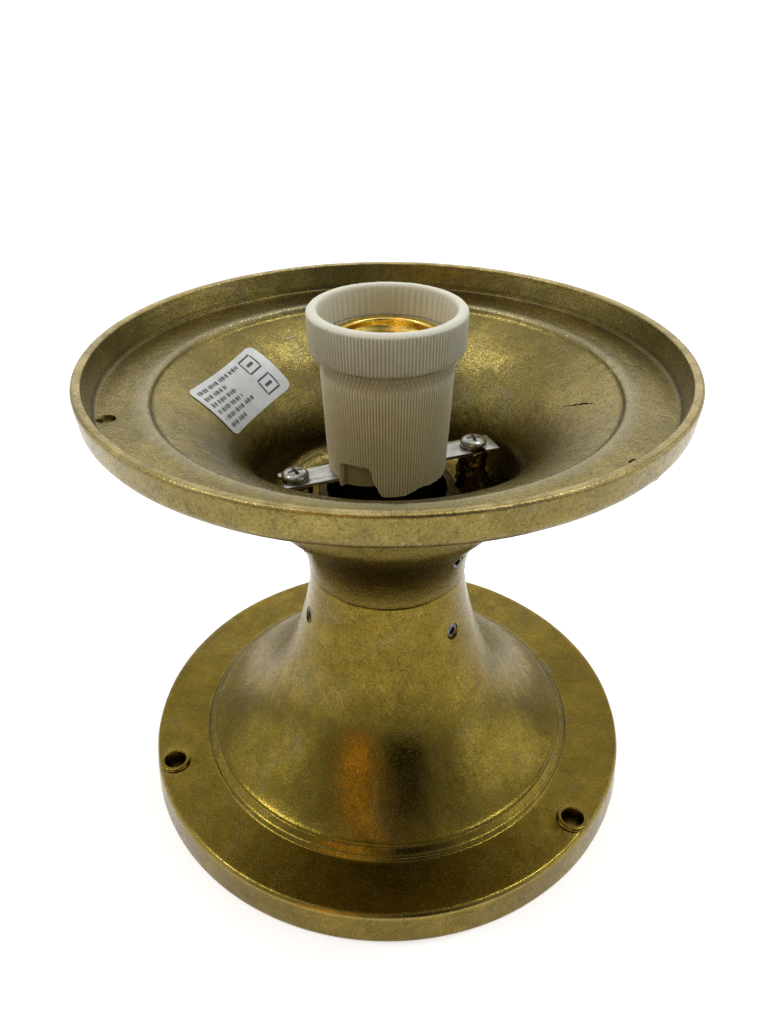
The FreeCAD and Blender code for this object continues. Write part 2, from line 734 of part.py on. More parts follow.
def rivet(label, across, seat):
    """Rivet through the porcelain's floor, with a head above its seat."""
    shank = cylinder(f"{label}_shank", "rivet_radius", f"{seat} - pocket_ceiling")
    head = cylinder(f"{label}_head", "rivet_head_radius", "rivet_head_rise")
    place(shank, "0", across, "pocket_ceiling", "strap_angle")
    place(head, "0", across, seat, "strap_angle")
    return fused(label, shank, head)


def terminal(label, side):
    """Brass block under the porcelain's floor, with a wire hole across it and a tapped hole from below."""
    block = box(f"{label}_block", "2 * terminal_half_length", "terminal_outer - terminal_inner",
                "pocket_ceiling - terminal_bottom")
    start = "terminal_inner" if side > 0 else "0 - terminal_outer"
    middle = f"{side} * (terminal_inner + terminal_outer) / 2"
    place(block, "0 - terminal_half_length", start, "terminal_bottom", "strap_angle")
    wire = cylinder(f"{label}_wire_hole", "wire_hole", "3 * terminal_half_length")
    place(wire, "0 - 1.5 * terminal_half_length", middle, "(pocket_ceiling + terminal_bottom) / 2",
          "strap_angle", 90.0)
    tap = cylinder(f"{label}_tap", "terminal_screw_radius",
                   "(pocket_ceiling - terminal_bottom) / 2 + overrun")
    place(tap, "0", middle, "terminal_bottom - overrun", "strap_angle")
    return cut(label, block, wire, tap)


def terminal_screw(label, side):
    """Cheese-head screw that closes on the wire from below."""
    middle = f"{side} * (terminal_inner + terminal_outer) / 2"
    shank = cylinder(f"{label}_shank", "terminal_screw_radius", "terminal_screw_reach")
    head = cylinder(f"{label}_head", "terminal_head_radius", "terminal_head_rise")
    slot = box(f"{label}_slot", "3 * terminal_head_radius", "driver_slot", "driver_slot")
    place(shank, "0", middle, "terminal_bottom", "strap_angle")
    place(head, "0", middle, "terminal_bottom - terminal_head_rise", "strap_angle")
    place(slot, "0 - 1.5 * terminal_head_radius", f"{middle} - driver_slot / 2",
          "terminal_bottom - terminal_head_rise", "strap_angle")
    return cut(label, fused(f"{label}_blank", shank, head), slot)


def holder_screw(label, side):
    """Screw up through the strap and the porcelain's floor into a nut."""
    across = f"{side} * holder_screw_offset"
    shank = cylinder(f"{label}_shank", "holder_screw_radius", "cavity_floor + nut_rise - strap_level")
    head = cylinder(f"{label}_head", "holder_head_radius", "holder_head_rise")
    slot = box(f"{label}_slot", "3 * holder_head_radius", "driver_slot", "driver_slot")
    place(shank, across, "0", "strap_level", "strap_angle")
    place(head, across, "0", "strap_level - holder_head_rise", "strap_angle")
    place(slot, f"{across} - 1.5 * holder_head_radius", "0 - driver_slot / 2",
          "strap_level - holder_head_rise", "strap_angle")
    return cut(label, fused(f"{label}_blank", shank, head), slot)


def holder_nut(label, side):
    """Hexagon nut on the porcelain's floor."""
    across = f"{side} * holder_screw_offset"
    blank = hexagon(f"{label}_blank", "nut_flats", "nut_rise")
    hole = cylinder(f"{label}_hole", "holder_screw_radius", "nut_rise")
    place(blank, across, "0", "cavity_floor", "strap_angle")
    place(hole, across, "0", "cavity_floor", "strap_angle")
    return cut(label, blank, hole)


def rating_label():
    """Thin label on the bowl's wall: the wall's own arc, turned through the label's width."""
    body = new_body("rating_label")
    sketch = new_sketch(body, "label_outline", "XZ_Plane")

    def wall_level(radius, sweep):
        return f"(bowl_centre_level + sqrt(({sweep})^2 - (bowl_centre_radius - {radius})^2))"

    inner = "bowl_sweep + label_thick"
    outline(sketch, [
        ("label_low_radius", wall_level("label_low_radius", "bowl_sweep")),
        ("label_high_radius", wall_level("label_high_radius", "bowl_sweep"), "bowl_sweep", -1),
        ("label_high_radius", wall_level("label_high_radius", inner)),
        ("label_low_radius", wall_level("label_low_radius", inner), inner, 1),
    ])
    turned = body.newObject("PartDesign::Revolution", "label_turned")
    turned.Profile = sketch
    turned.ReferenceAxis = (sketch, ["V_Axis"])
    turned.Midplane = True
    bind(turned, Angle="2 * label_half_sweep")
    body.Placement = FreeCAD.Placement(
        FreeCAD.Vector(), FreeCAD.Rotation(FreeCAD.Vector(0, 0, 1), size("label_angle"))
    )
    doc.recompute()
    return body


def earth_screw():
    """Pan-head screw of the earth terminal, its head below the boss inside the foot."""
    seat = "(foot_rise - wall - earth_boss_drop)"
    shank = cylinder("earth_shank", "earth_screw_radius",
                     "earth_boss_drop + wall / 2 + earth_washer_thick / 2")
    head = cylinder("earth_head", "earth_head_radius", "earth_head_rise")
    slot = box("earth_slot", "3 * earth_head_radius", "driver_slot", "driver_slot")
    place(shank, "earth_circle", "0", f"{seat} - earth_washer_thick", "earth_angle")
    place(head, "earth_circle", "0", f"{seat} - earth_washer_thick - earth_head_rise", "earth_angle")
    place(slot, "earth_circle - 1.5 * earth_head_radius", "0 - driver_slot / 2",
          f"{seat} - earth_washer_thick - earth_head_rise", "earth_angle")
    return cut("earth_screw", fused("earth_blank", shank, head), slot)


def earth_washer():
    """Plain washer under the earth screw's head."""
    disc = cylinder("washer_disc", "earth_washer_radius", "earth_washer_thick")
    hole = cylinder("washer_hole", "earth_screw_radius + washer_play", "earth_washer_thick")
    level = "foot_rise - wall - earth_boss_drop - earth_washer_thick"
    place(disc, "earth_circle", "0", level, "earth_angle")
    place(hole, "earth_circle", "0", level, "earth_angle")
    return cut("earth_washer", disc, hole)


def all_pieces():
    """Every sub-part, in the order in which the lamp base goes together."""
    pieces = [base_casting(), neck_tube(), dish_casting()]
    for index in range(LOCK_COUNT):
        pieces.append(grub_screw(f"lower_grub_screw_{index + 1}", "lower_grub_level", "grub_radius", index))
        pieces.append(grub_screw(f"upper_grub_screw_{index + 1}", "upper_grub_level", "grub_hole", index))
    pieces += [holder_bracket(), lampholder_body(), threaded_shell(), contact_plate(), centre_contact()]
    pieces.append(rivet("live_rivet", "live_rivet_offset", "cavity_floor + contact_thick"))
    pieces.append(rivet("neutral_rivet", "0 - neutral_rivet_offset", "cavity_floor + shell_thick"))
    for name, side in (("live", 1), ("neutral", -1)):
        pieces.append(terminal(f"{name}_terminal", side))
        pieces.append(terminal_screw(f"{name}_terminal_screw", side))
    for name, side in (("left", -1), ("right", 1)):
        pieces.append(strap_screw(f"strap_screw_{name}", side))
        pieces.append(holder_screw(f"holder_screw_{name}", side))
        pieces.append(holder_nut(f"holder_nut_{name}", side))
    pieces += [rating_label(), earth_screw(), earth_washer()]
    return pieces


def check(pieces):
    """Stop if any object failed, or if a sub-part has no valid shape."""
    for item in doc.Objects:
        if "Invalid" in item.State or "Error" in item.State:
            raise RuntimeError(f"{item.Label}: {item.State}")
    for piece in pieces:
        if piece.Shape.isNull() or not piece.Shape.isValid() or not piece.Shape.Solids:
            raise RuntimeError(f"{piece.Label} has no valid solid")


pieces = all_pieces()
doc.recompute()
check(pieces)
os.makedirs("parts", exist_ok=True)
for piece in pieces:
    piece.Shape.exportStep(f"parts/{piece.Label}.step")
    print(piece.Label, len(piece.Shape.Solids), round(piece.Shape.Volume, 1))
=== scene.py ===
"""Brass base of a ship's lamp: two aged castings on a neck tube, with a porcelain lampholder in the dish.

The shapes are worked out in millimetres, in the CAD model's frame, and turned into metres when a mesh is
made.
"""
import math

import bpy
import numpy as np
from mathutils import Matrix, Vector


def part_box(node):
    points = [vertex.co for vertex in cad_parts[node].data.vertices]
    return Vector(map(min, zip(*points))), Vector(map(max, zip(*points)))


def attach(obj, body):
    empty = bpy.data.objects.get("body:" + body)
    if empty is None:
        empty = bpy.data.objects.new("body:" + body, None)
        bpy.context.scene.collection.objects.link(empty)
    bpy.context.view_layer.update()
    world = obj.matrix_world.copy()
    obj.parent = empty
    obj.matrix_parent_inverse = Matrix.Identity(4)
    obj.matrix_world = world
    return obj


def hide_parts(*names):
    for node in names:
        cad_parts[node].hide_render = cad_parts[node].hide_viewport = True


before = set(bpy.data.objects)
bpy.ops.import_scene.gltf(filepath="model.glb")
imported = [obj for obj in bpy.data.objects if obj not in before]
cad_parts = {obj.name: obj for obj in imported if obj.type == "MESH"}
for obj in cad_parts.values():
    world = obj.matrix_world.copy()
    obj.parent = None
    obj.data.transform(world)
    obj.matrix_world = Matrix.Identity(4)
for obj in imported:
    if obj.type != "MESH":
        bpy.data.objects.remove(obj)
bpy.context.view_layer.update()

MM = 0.001
TAU = 2 * math.pi
STRAP_ANGLE = math.radians(21.0)
LOCK_ANGLES = [math.radians(-40.0 + 120.0 * i) for i in range(3)]


# ---------------------------------------------------------------- sizes from the frame, in millimetres

def span(node):
    """Lowest and highest corner of a CAD node, in millimetres."""
    low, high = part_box(node)
    return low / MM, high / MM


FOOT_RADIUS = span("base_casting")[1].x
SEAM_LEVEL = span("base_casting")[1].z
RIM_RADIUS = span("dish_casting")[1].x
RIM_LEVEL = span("dish_casting")[1].z
TUBE_OUTER = span("neck_tube")[1].x
TUBE_BOTTOM = span("neck_tube")[0].z
TUBE_TOP = span("neck_tube")[1].z
PORCELAIN_BOTTOM = span("lampholder_body")[0].z
PORCELAIN_TOP = span("lampholder_body")[1].z
SKIRT_RADIUS = span("lampholder_body")[1].x
SHELL_BOTTOM = span("threaded_shell")[0].z
SHELL_TOP = span("threaded_shell")[1].z
SHELL_LIP = span("threaded_shell")[1].x
STRAP_BOTTOM = span("holder_bracket")[0].z
STRAP_TOP = span("holder_bracket")[1].z


# ---------------------------------------------------------------- noise on arrays of points

def hashed(cells, seed):
    """A repeatable number from 0 to 1 for each row of whole-number cells."""
    mixed = cells[:, 0] * 374761393 + cells[:, 1] * 668265263 + cells[:, 2] * 2147483647 + seed * 1274126177
    mixed = (mixed ^ (mixed >> 13)) * 1274126177
    mixed = (mixed ^ (mixed >> 16)) & 0xFFFFFF
    return mixed / float(0xFFFFFF)


def smooth_noise(points, scale, seed):
    """Value noise from -1 to 1, with features about `scale` millimetres across."""
    spot = points / scale
    cell = np.floor(spot).astype(np.int64)
    part = spot - cell
    part = part * part * (3 - 2 * part)
    total = np.zeros(len(points))
    for corner in range(8):
        step = np.array([corner & 1, (corner >> 1) & 1, (corner >> 2) & 1])
        weight = np.prod(np.where(step == 1, part, 1 - part), axis=1)
        total += weight * hashed(cell + step, seed)
    return total * 2 - 1


def rough_noise(points, scale, octaves, seed):
    """Several layers of smooth noise, each half the size and half the height of the last."""
    total = np.zeros(len(points))
    for octave in range(octaves):
        total += smooth_noise(points, scale / 2 ** octave, seed + octave) / 2 ** octave
    return total


def peaks(points, scale, seed, foot):
    """What of the smooth noise stands above `foot`, from 0 to 1."""
    return np.clip(smooth_noise(points, scale, seed) - foot, 0, 1)


# ---------------------------------------------------------------- outlines

def line_to(path, end, step):
    """Carry an outline on in a straight run of short steps."""
    start = np.array(path[-1])
    end = np.array(end, float)
    count = max(1, int(math.ceil(np.linalg.norm(end - start) / step)))
    for i in range(1, count + 1):
        path.append(tuple(start + (end - start) * i / count))


def arc_to(path, end, radius, turn, step):
    """Carry an outline on along the short arc of a circle; turn +1 is anticlockwise, -1 clockwise."""
    start = np.array(path[-1], float)
    end = np.array(end, float)
    chord = end - start
    length = np.linalg.norm(chord)
    normal = np.array([-chord[1], chord[0]]) / length
    centre = (start + end) / 2 + normal * turn * math.sqrt(max(radius ** 2 - length ** 2 / 4, 0.0))
    first = math.atan2(start[1] - centre[1], start[0] - centre[0])
    sweep = 2 * math.asin(min(1.0, length / 2 / radius)) * turn
    count = max(2, int(math.ceil(abs(sweep) * radius / step)))
    for i in range(1, count + 1):
        angle = first + sweep * i / count
        path.append((centre[0] + radius * math.cos(angle), centre[1] + radius * math.sin(angle)))


def circle_height(radius, centre, sweep, side):
    """Height of a circle's point at a radius from the lamp's axis; side +1 is its upper half."""
    return centre[1] + side * math.sqrt(sweep ** 2 - (centre[0] - radius) ** 2)


def circle_radius(level, centre, sweep):
    """Radius from the lamp's axis of a circle's inner point at a height."""
    return centre[0] - math.sqrt(sweep ** 2 - (level - centre[1]) ** 2)


# ---------------------------------------------------------------- meshes

def make_object(name, points, faces, smooth_angle=40.0):
    """A smooth-shaded mesh object from points in millimetres."""
    mesh = bpy.data.meshes.new(name)
    mesh.from_pydata((np.asarray(points, float) * MM).tolist(), [], faces)
    mesh.validate()
    item = bpy.data.objects.new(name, mesh)
    bpy.context.scene.collection.objects.link(item)
    shade(item, smooth_angle)
    return item


def shade(item, smooth_angle=40.0):
    """Shade smooth, with sharp edges where faces meet at more than the angle."""
    item.data.shade_smooth()
    item.data.set_sharp_from_angle(angle=math.radians(smooth_angle))


def unit_rows(vectors):
    """Each row of an array brought to length 1."""
    return vectors / np.linalg.norm(vectors, axis=1)[:, None]


def lathe(outline, turns, offset=None):
    """Points and faces of a closed outline turned about Z; offset moves the points along their normals."""
    path = np.array(outline, float)
    rows = len(path)
    ahead = np.roll(path, -1, axis=0) - path
    behind = path - np.roll(path, 1, axis=0)
    along = unit_rows(unit_rows(ahead) + unit_rows(behind))
    normal = np.stack([along[:, 1], -along[:, 0]], axis=1)
    angle = np.arange(turns) * TAU / turns
    ring = np.stack([np.cos(angle), np.sin(angle)], axis=1)
    points = np.empty((rows, turns, 3))
    points[:, :, 0] = path[:, 0:1] * ring[:, 0]
    points[:, :, 1] = path[:, 0:1] * ring[:, 1]
    points[:, :, 2] = path[:, 1:2]
    if offset is not None:
        lift = offset(points.reshape(-1, 3), np.repeat(path, turns, axis=0)).reshape(rows, turns)
        points[:, :, 0] += normal[:, 0:1] * ring[:, 0] * lift
        points[:, :, 1] += normal[:, 0:1] * ring[:, 1] * lift
        points[:, :, 2] += normal[:, 1:2] * lift
    faces = []
    for row in range(rows):
        low = row * turns
        high = ((row + 1) % rows) * turns
        for spoke in range(turns):
            after = (spoke + 1) % turns
            faces.append((low + spoke, low + after, high + after, high + spoke))
    return points.reshape(-1, 3), faces


def turned(name, outline, turns, offset=None, smooth_angle=40.0):
    """An object turned about Z from a closed outline."""
    points, faces = lathe(outline, turns, offset)
    return make_object(name, points, faces, smooth_angle)


def stack(name, rings, smooth_angle=40.0):
    """A closed solid through rings of points, each anticlockwise seen from the last one."""
    count = len(rings[0])
    top = count * (len(rings) - 1)
    faces = [tuple(range(count))[::-1], tuple(range(top, top + count))]
    for low in range(0, top, count):
        high = low + count
        for i in range(count):
            after = (i + 1) % count
            faces.append((low + i, low + after, high + after, high + i))
    return make_object(name, [point for ring in rings for point in ring], faces, smooth_angle)


def level_ring(corners, level):
    """A flat outline lifted to a height."""
    return [(x, y, level) for x, y in corners]


def prism(name, corners, low, high):
    """An upright prism of a flat outline."""
    return stack(name, [level_ring(corners, low), level_ring(corners, high)], 30.0)


def apply_modifiers(item):
    """Replace an object's mesh with what its modifiers make of it."""
    graph = bpy.context.evaluated_depsgraph_get()
    made = bpy.data.meshes.new_from_object(item.evaluated_get(graph))
    item.modifiers.clear()
    item.data = made


def combine(item, tool, operation, smooth_angle=40.0):
    """Add or cut away a closed tool, which is used up."""
    change = item.modifiers.new("combine", "BOOLEAN")
    change.operation = operation
    change.solver = "MANIFOLD"
    change.object = tool
    bpy.context.view_layer.update()
    apply_modifiers(item)
    bpy.data.objects.remove(tool)
    shade(item, smooth_angle)


def bevel(item, width, segments=3, angle=30.0):
    """Round an object's edges, width in millimetres."""
    change = item.modifiers.new("bevel", "BEVEL")
    change.width = width * MM
    change.segments = segments
    change.limit_method = "ANGLE"
    change.angle_limit = math.radians(angle)
    bpy.context.view_layer.update()
    apply_modifiers(item)
    shade(item, 50.0)


def move(item, matrix):
    """Move an object's points, with the shift given in millimetres."""
    scaled = matrix.copy()
    scaled.translation = matrix.translation * MM
    item.data.transform(scaled)


def upright(radius, angle, level):
    """The place of an upright part, a radius from the axis at an angle."""
    shift = Matrix.Translation((radius * math.cos(angle), radius * math.sin(angle), level))
    return shift @ Matrix.Rotation(angle, 4, "Z")


def radial(radius, angle, level):
    """The place of a part whose own Z axis points outward along a radius of the lamp."""
    return upright(radius, angle, level) @ Matrix.Rotation(math.pi / 2, 4, "Y")


def regular(radius, sides):
    """The corners of a regular outline about the origin, the first on the X axis."""
    angles = [i * TAU / sides for i in range(sides)]
    return [(radius * math.cos(angle), radius * math.sin(angle)) for angle in angles]


def round_bar(name, radius, low, high):
    """A plain round tool for a boolean, upright."""
    return prism(name, regular(radius, 48), low, high)


# ---------------------------------------------------------------- base casting

FOOT_RISE = 10.4
WALL = 4.0
TRUMPET_UPPER = (118.94, 80.0)
TRUMPET_UPPER_SWEEP = 95.8
TRUMPET_SWITCH = math.radians(26.85)
TRUMPET_LOWER_SWEEP = 50.5
TRUMPET_SWITCH_POINT = (
    TRUMPET_UPPER[0] - TRUMPET_UPPER_SWEEP * math.cos(TRUMPET_SWITCH),
    TRUMPET_UPPER[1] - TRUMPET_UPPER_SWEEP * math.sin(TRUMPET_SWITCH),
)
TRUMPET_LOWER = (
    TRUMPET_SWITCH_POINT[0] + TRUMPET_LOWER_SWEEP * math.cos(TRUMPET_SWITCH),
    TRUMPET_SWITCH_POINT[1] + TRUMPET_LOWER_SWEEP * math.sin(TRUMPET_SWITCH),
)
TRUMPET_FOOT_RADIUS = 57.6
NECK_BORE = 19.95
SEAM_PLAY = 0.03
LEDGE_LEVEL = TUBE_BOTTOM
FIXING_CIRCLE = 72.5
FIXING_HOLE = 3.15
COLLAR_RADIUS = 4.8
COLLAR_RISE = 1.2
EARTH_BOSS = 5.0
EARTH_BORE = 2.0
GRUB_HOLE = 2.5
LOWER_GRUB_LEVEL = 58.4
UPPER_GRUB_LEVEL = 84.5
TURNS = 480
FINE = 0.8
COARSE = 2.4


def near(points, centre, reach):
    """A bump from 0 at `reach` from a centre to 1 at it."""
    gap = np.linalg.norm(points - np.array(centre), axis=1) / reach
    return np.clip(1 - gap, 0, 1) ** 2 * (1 + 2 * np.clip(gap, 0, 1))


def base_outline():
    """Half section of the base casting, from its outer bottom edge anticlockwise."""
    neck_radius = circle_radius(SEAM_LEVEL - 0.7, TRUMPET_UPPER, TRUMPET_UPPER_SWEEP)
    foot_level = circle_height(TRUMPET_FOOT_RADIUS, TRUMPET_LOWER, TRUMPET_LOWER_SWEEP, -1)
    path = [(FOOT_RADIUS - 0.5, 0.0)]
    arc_to(path, (FOOT_RADIUS, 0.5), 0.5, 1, 0.3)
    line_to(path, (FOOT_RADIUS - 0.7, FOOT_RISE - 1.5), FINE)
    arc_to(path, (FOOT_RADIUS - 2.2, FOOT_RISE), 1.5, 1, 0.35)
    line_to(path, (61.4, FOOT_RISE + 0.05), FINE)
    arc_to(path, (60.5, FOOT_RISE + 0.7), 1.1, -1, 0.25)
    arc_to(path, (59.7, FOOT_RISE + 1.2), 0.9, 1, 0.25)
    line_to(path, (58.3, foot_level - 0.75), 0.4)
    line_to(path, (57.95, foot_level - 0.6), 0.2)
    arc_to(path, (57.3, foot_level + 0.1), 0.7, 1, 0.2)
    arc_to(path, TRUMPET_SWITCH_POINT, TRUMPET_LOWER_SWEEP, -1, FINE)
    arc_to(path, (neck_radius, SEAM_LEVEL - 0.7), TRUMPET_UPPER_SWEEP, -1, FINE)
    arc_to(path, (neck_radius - 0.7, SEAM_LEVEL - SEAM_PLAY), 0.7, 1, 0.25)
    line_to(path, (NECK_BORE, SEAM_LEVEL - SEAM_PLAY), FINE)
    line_to(path, (NECK_BORE, LEDGE_LEVEL), COARSE)
    line_to(path, (18.4, LEDGE_LEVEL), FINE)
    line_to(path, (18.4, LEDGE_LEVEL - 3.5), COARSE)
    inner_radius = circle_radius(LEDGE_LEVEL - 3.5, TRUMPET_UPPER, TRUMPET_UPPER_SWEEP + WALL)
    line_to(path, (inner_radius, LEDGE_LEVEL - 3.5), COARSE)
    inner_switch = (
        TRUMPET_UPPER[0] - (TRUMPET_UPPER_SWEEP + WALL) * math.cos(TRUMPET_SWITCH),
        TRUMPET_UPPER[1] - (TRUMPET_UPPER_SWEEP + WALL) * math.sin(TRUMPET_SWITCH),
    )
    arc_to(path, inner_switch, TRUMPET_UPPER_SWEEP + WALL, 1, COARSE)
    inner_foot = circle_height(57.8, TRUMPET_LOWER, TRUMPET_LOWER_SWEEP + WALL, -1)
    arc_to(path, (57.8, inner_foot), TRUMPET_LOWER_SWEEP + WALL, 1, COARSE)
    line_to(path, (61.0, FOOT_RISE - WALL), COARSE)
    line_to(path, (FOOT_RADIUS - 5.4, FOOT_RISE - WALL), COARSE)
    arc_to(path, (FOOT_RADIUS - 4.4, FOOT_RISE - WALL - 1.0), 1.0, -1, 0.5)
    line_to(path, (FOOT_RADIUS - 3.8, 0.0), COARSE)
    return path


def base_relief(points, path):
    """Casting relief of the base: slow waves, small lumps and a swelling round each collar."""
    outside = path[:, 1] > FOOT_RISE - 1.2
    lift = rough_noise(points, 22.0, 2, 11) * 0.09 + rough_noise(points, 3.2, 2, 12) * 0.028
    lift *= np.where(path[:, 0] < NECK_BORE + 0.2, 0.0, 1.0)
    for angle in LOCK_ANGLES:
        centre = (FIXING_CIRCLE * math.cos(angle), FIXING_CIRCLE * math.sin(angle), FOOT_RISE)
        lift += near(points, centre, COLLAR_RADIUS + 3.0) * 0.6 * outside
    flat = (path[:, 1] < 0.6) | (path[:, 1] > SEAM_LEVEL - 0.3)
    return np.minimum(lift, np.where(flat, 0.0, 1.0))


def collar(name, angle):
    """Raised collar of a fixing hole, with the boss under it down to the foot's face."""
    top = FOOT_RISE + COLLAR_RISE
    path = [(FIXING_HOLE - 0.6, 0.0), (COLLAR_RADIUS, 0.0)]
    line_to(path, (COLLAR_RADIUS, top - 0.8), 2.0)
    arc_to(path, (COLLAR_RADIUS - 0.75, top), 0.8, 1, 0.15)
    line_to(path, (FIXING_HOLE - 0.6, top), 0.5)
    part = turned(name, path, 64)
    move(part, upright(FIXING_CIRCLE, angle, 0.0))
    return part


def chamfered_hole(name, radius, low, high, chamfer):
    """A tool that cuts a round hole whose upper mouth is broken by a chamfer."""
    mouth = radius + chamfer * 0.8
    steps = ((radius, low), (radius, high - chamfer), (mouth, high), (mouth, high + 1))
    return stack(name, [level_ring(regular(size, 64), level) for size, level in steps])


def drill_grubs(casting, level, reach):
    """Cut the three grub screw holes."""
    for angle in LOCK_ANGLES:
        tool = chamfered_hole("grub_tool", GRUB_HOLE, -4.0, reach, 0.12)
        move(tool, radial(TUBE_OUTER, angle, level))
        combine(casting, tool, "DIFFERENCE")


def make_base_casting():
    """The base casting, with collared fixing holes, an earth boss and grub screw holes."""
    casting = turned("base_casting_skin", base_outline(), TURNS, base_relief)
    for angle in LOCK_ANGLES:
        combine(casting, collar("collar_tool", angle), "UNION")
        hole = chamfered_hole("hole_tool", FIXING_HOLE, -1.0, FOOT_RISE + COLLAR_RISE, 0.35)
        move(hole, upright(FIXING_CIRCLE, angle, 0.0))
        combine(casting, hole, "DIFFERENCE")
    earth_low, earth_high = span("earth_screw")
    centre = (earth_low + earth_high) / 2
    boss = round_bar("boss_tool", EARTH_BOSS, 3.8, FOOT_RISE - 2.0)
    move(boss, Matrix.Translation((centre.x, centre.y, 0)))
    combine(casting, boss, "UNION")
    bore = round_bar("bore_tool", EARTH_BORE, 0.0, FOOT_RISE - 2.0)
    move(bore, Matrix.Translation((centre.x, centre.y, 0)))
    combine(casting, bore, "DIFFERENCE")
    grub_reach = circle_radius(LOWER_GRUB_LEVEL, TRUMPET_UPPER, TRUMPET_UPPER_SWEEP) - TUBE_OUTER
    drill_grubs(casting, LOWER_GRUB_LEVEL, grub_reach)
    return casting


# ---------------------------------------------------------------- dish casting

HORN_CENTRE = (73.5, 94.0)
HORN_SWEEP = 37.5
BOWL_CENTRE = (72.92, 93.44)
BOWL_SWEEP = 39.46
BOWL_EDGE_RADIUS = 61.0
BOWL_FLOOR = 94.5
ANNULUS_LEVEL = 133.2
PLATE_BOTTOM = 129.3
DISH_NECK_RADIUS = 23.9
DISH_NECK_CENTRE = (51.9, 73.0)
DISH_NECK_SWEEP = 28.0
POST_CIRCLE = 27.0
STRAP_TAP = 2.05
GUARD_CIRCLE = 72.5
GUARD_HOLE = 2.1
GUARD_BOSS_RADIUS = 4.95
GUARD_BOSS_FOOT = PLATE_BOTTOM + 1.3
CRACK_LOW = (47.4, math.radians(2.3))
CRACK_HIGH = (55.5, math.radians(-8.9))


def dish_outline():
    """Half section of the dish casting, from the foot of its bore anticlockwise."""
    shoulder_top = 100.5
    wall_foot = BOWL_FLOOR + 6.0
    lap_radius = BOWL_EDGE_RADIUS - 0.7
    lap_level = circle_height(lap_radius, BOWL_CENTRE, BOWL_SWEEP, 1)
    path = [(NECK_BORE, SEAM_LEVEL)]
    line_to(path, (DISH_NECK_RADIUS - 0.7, SEAM_LEVEL), FINE)
    arc_to(path, (DISH_NECK_RADIUS, SEAM_LEVEL + 0.7), 0.7, 1, 0.25)
    arc_to(path, (32.4, 93.0), DISH_NECK_SWEEP, -1, FINE)
    arc_to(path, (circle_radius(shoulder_top, HORN_CENTRE, HORN_SWEEP), shoulder_top), 13.9, 1, 1.2)
    plate_radius = circle_radius(PLATE_BOTTOM, HORN_CENTRE, HORN_SWEEP)
    arc_to(path, (plate_radius, PLATE_BOTTOM), HORN_SWEEP, -1, 1.4)
    line_to(path, (RIM_RADIUS - 4.0, 131.7), 1.2)
    arc_to(path, (RIM_RADIUS - 0.5, 135.2), 3.5, 1, FINE)
    line_to(path, (RIM_RADIUS - 0.03, RIM_LEVEL - 0.9), FINE)
    arc_to(path, (RIM_RADIUS - 0.9, RIM_LEVEL - 0.03), 0.9, 1, 0.3)
    line_to(path, (77.6, RIM_LEVEL - 0.1), 0.6)
    arc_to(path, (77.0, RIM_LEVEL - 0.7), 0.6, 1, 0.3)
    line_to(path, (75.7, ANNULUS_LEVEL + 1.3), FINE)
    arc_to(path, (74.5, ANNULUS_LEVEL), 1.3, -1, 0.4)
    line_to(path, (66.5, ANNULUS_LEVEL - 0.15), FINE)
    line_to(path, (63.4, ANNULUS_LEVEL), FINE)
    arc_to(path, (BOWL_EDGE_RADIUS + 0.9, ANNULUS_LEVEL - 0.8), 1.7, 1, 0.25)
    arc_to(path, (lap_radius, lap_level), 2.4, -1, 0.3)
    arc_to(path, (circle_radius(wall_foot, BOWL_CENTRE, BOWL_SWEEP), wall_foot), BOWL_SWEEP, 1, FINE)
    arc_to(path, (circle_radius(wall_foot, BOWL_CENTRE, BOWL_SWEEP) - 6.0, BOWL_FLOOR), 6.0, -1, FINE)
    line_to(path, (NECK_BORE, BOWL_FLOOR), FINE)
    line_to(path, (NECK_BORE, SEAM_LEVEL + COARSE), COARSE)
    return path


def crack_tool():
    """A thin jagged blade that follows the bowl's wall and opens a crack in it."""
    shares = np.linspace(0, 1, 34)
    radius = CRACK_LOW[0] + (CRACK_HIGH[0] - CRACK_LOW[0]) * shares
    angle = CRACK_LOW[1] + (CRACK_HIGH[1] - CRACK_LOW[1]) * shares
    walk = np.stack([shares * 14.0, shares * 0, shares * 0], axis=1)
    angle = angle + (smooth_noise(walk, 2.2, 77) * 1.1 + smooth_noise(walk, 0.8, 78) * 0.7) / radius
    width = (0.08 + 0.30 * np.sin(np.pi * shares)) * (1.0 + 0.5 * smooth_noise(walk, 0.7, 79))
    rings = []
    for r, turn, half in zip(radius, angle, width):
        level = circle_height(r, BOWL_CENTRE, BOWL_SWEEP, 1)
        ring = []
        for side, lift in ((1, -1.1), (-1, -1.1), (-1, 1.2), (1, 1.2)):
            place = turn + side * half / r
            ring.append((r * math.cos(place), r * math.sin(place), level + lift))
        rings.append(ring)
    return stack("crack_tool", rings[::-1])


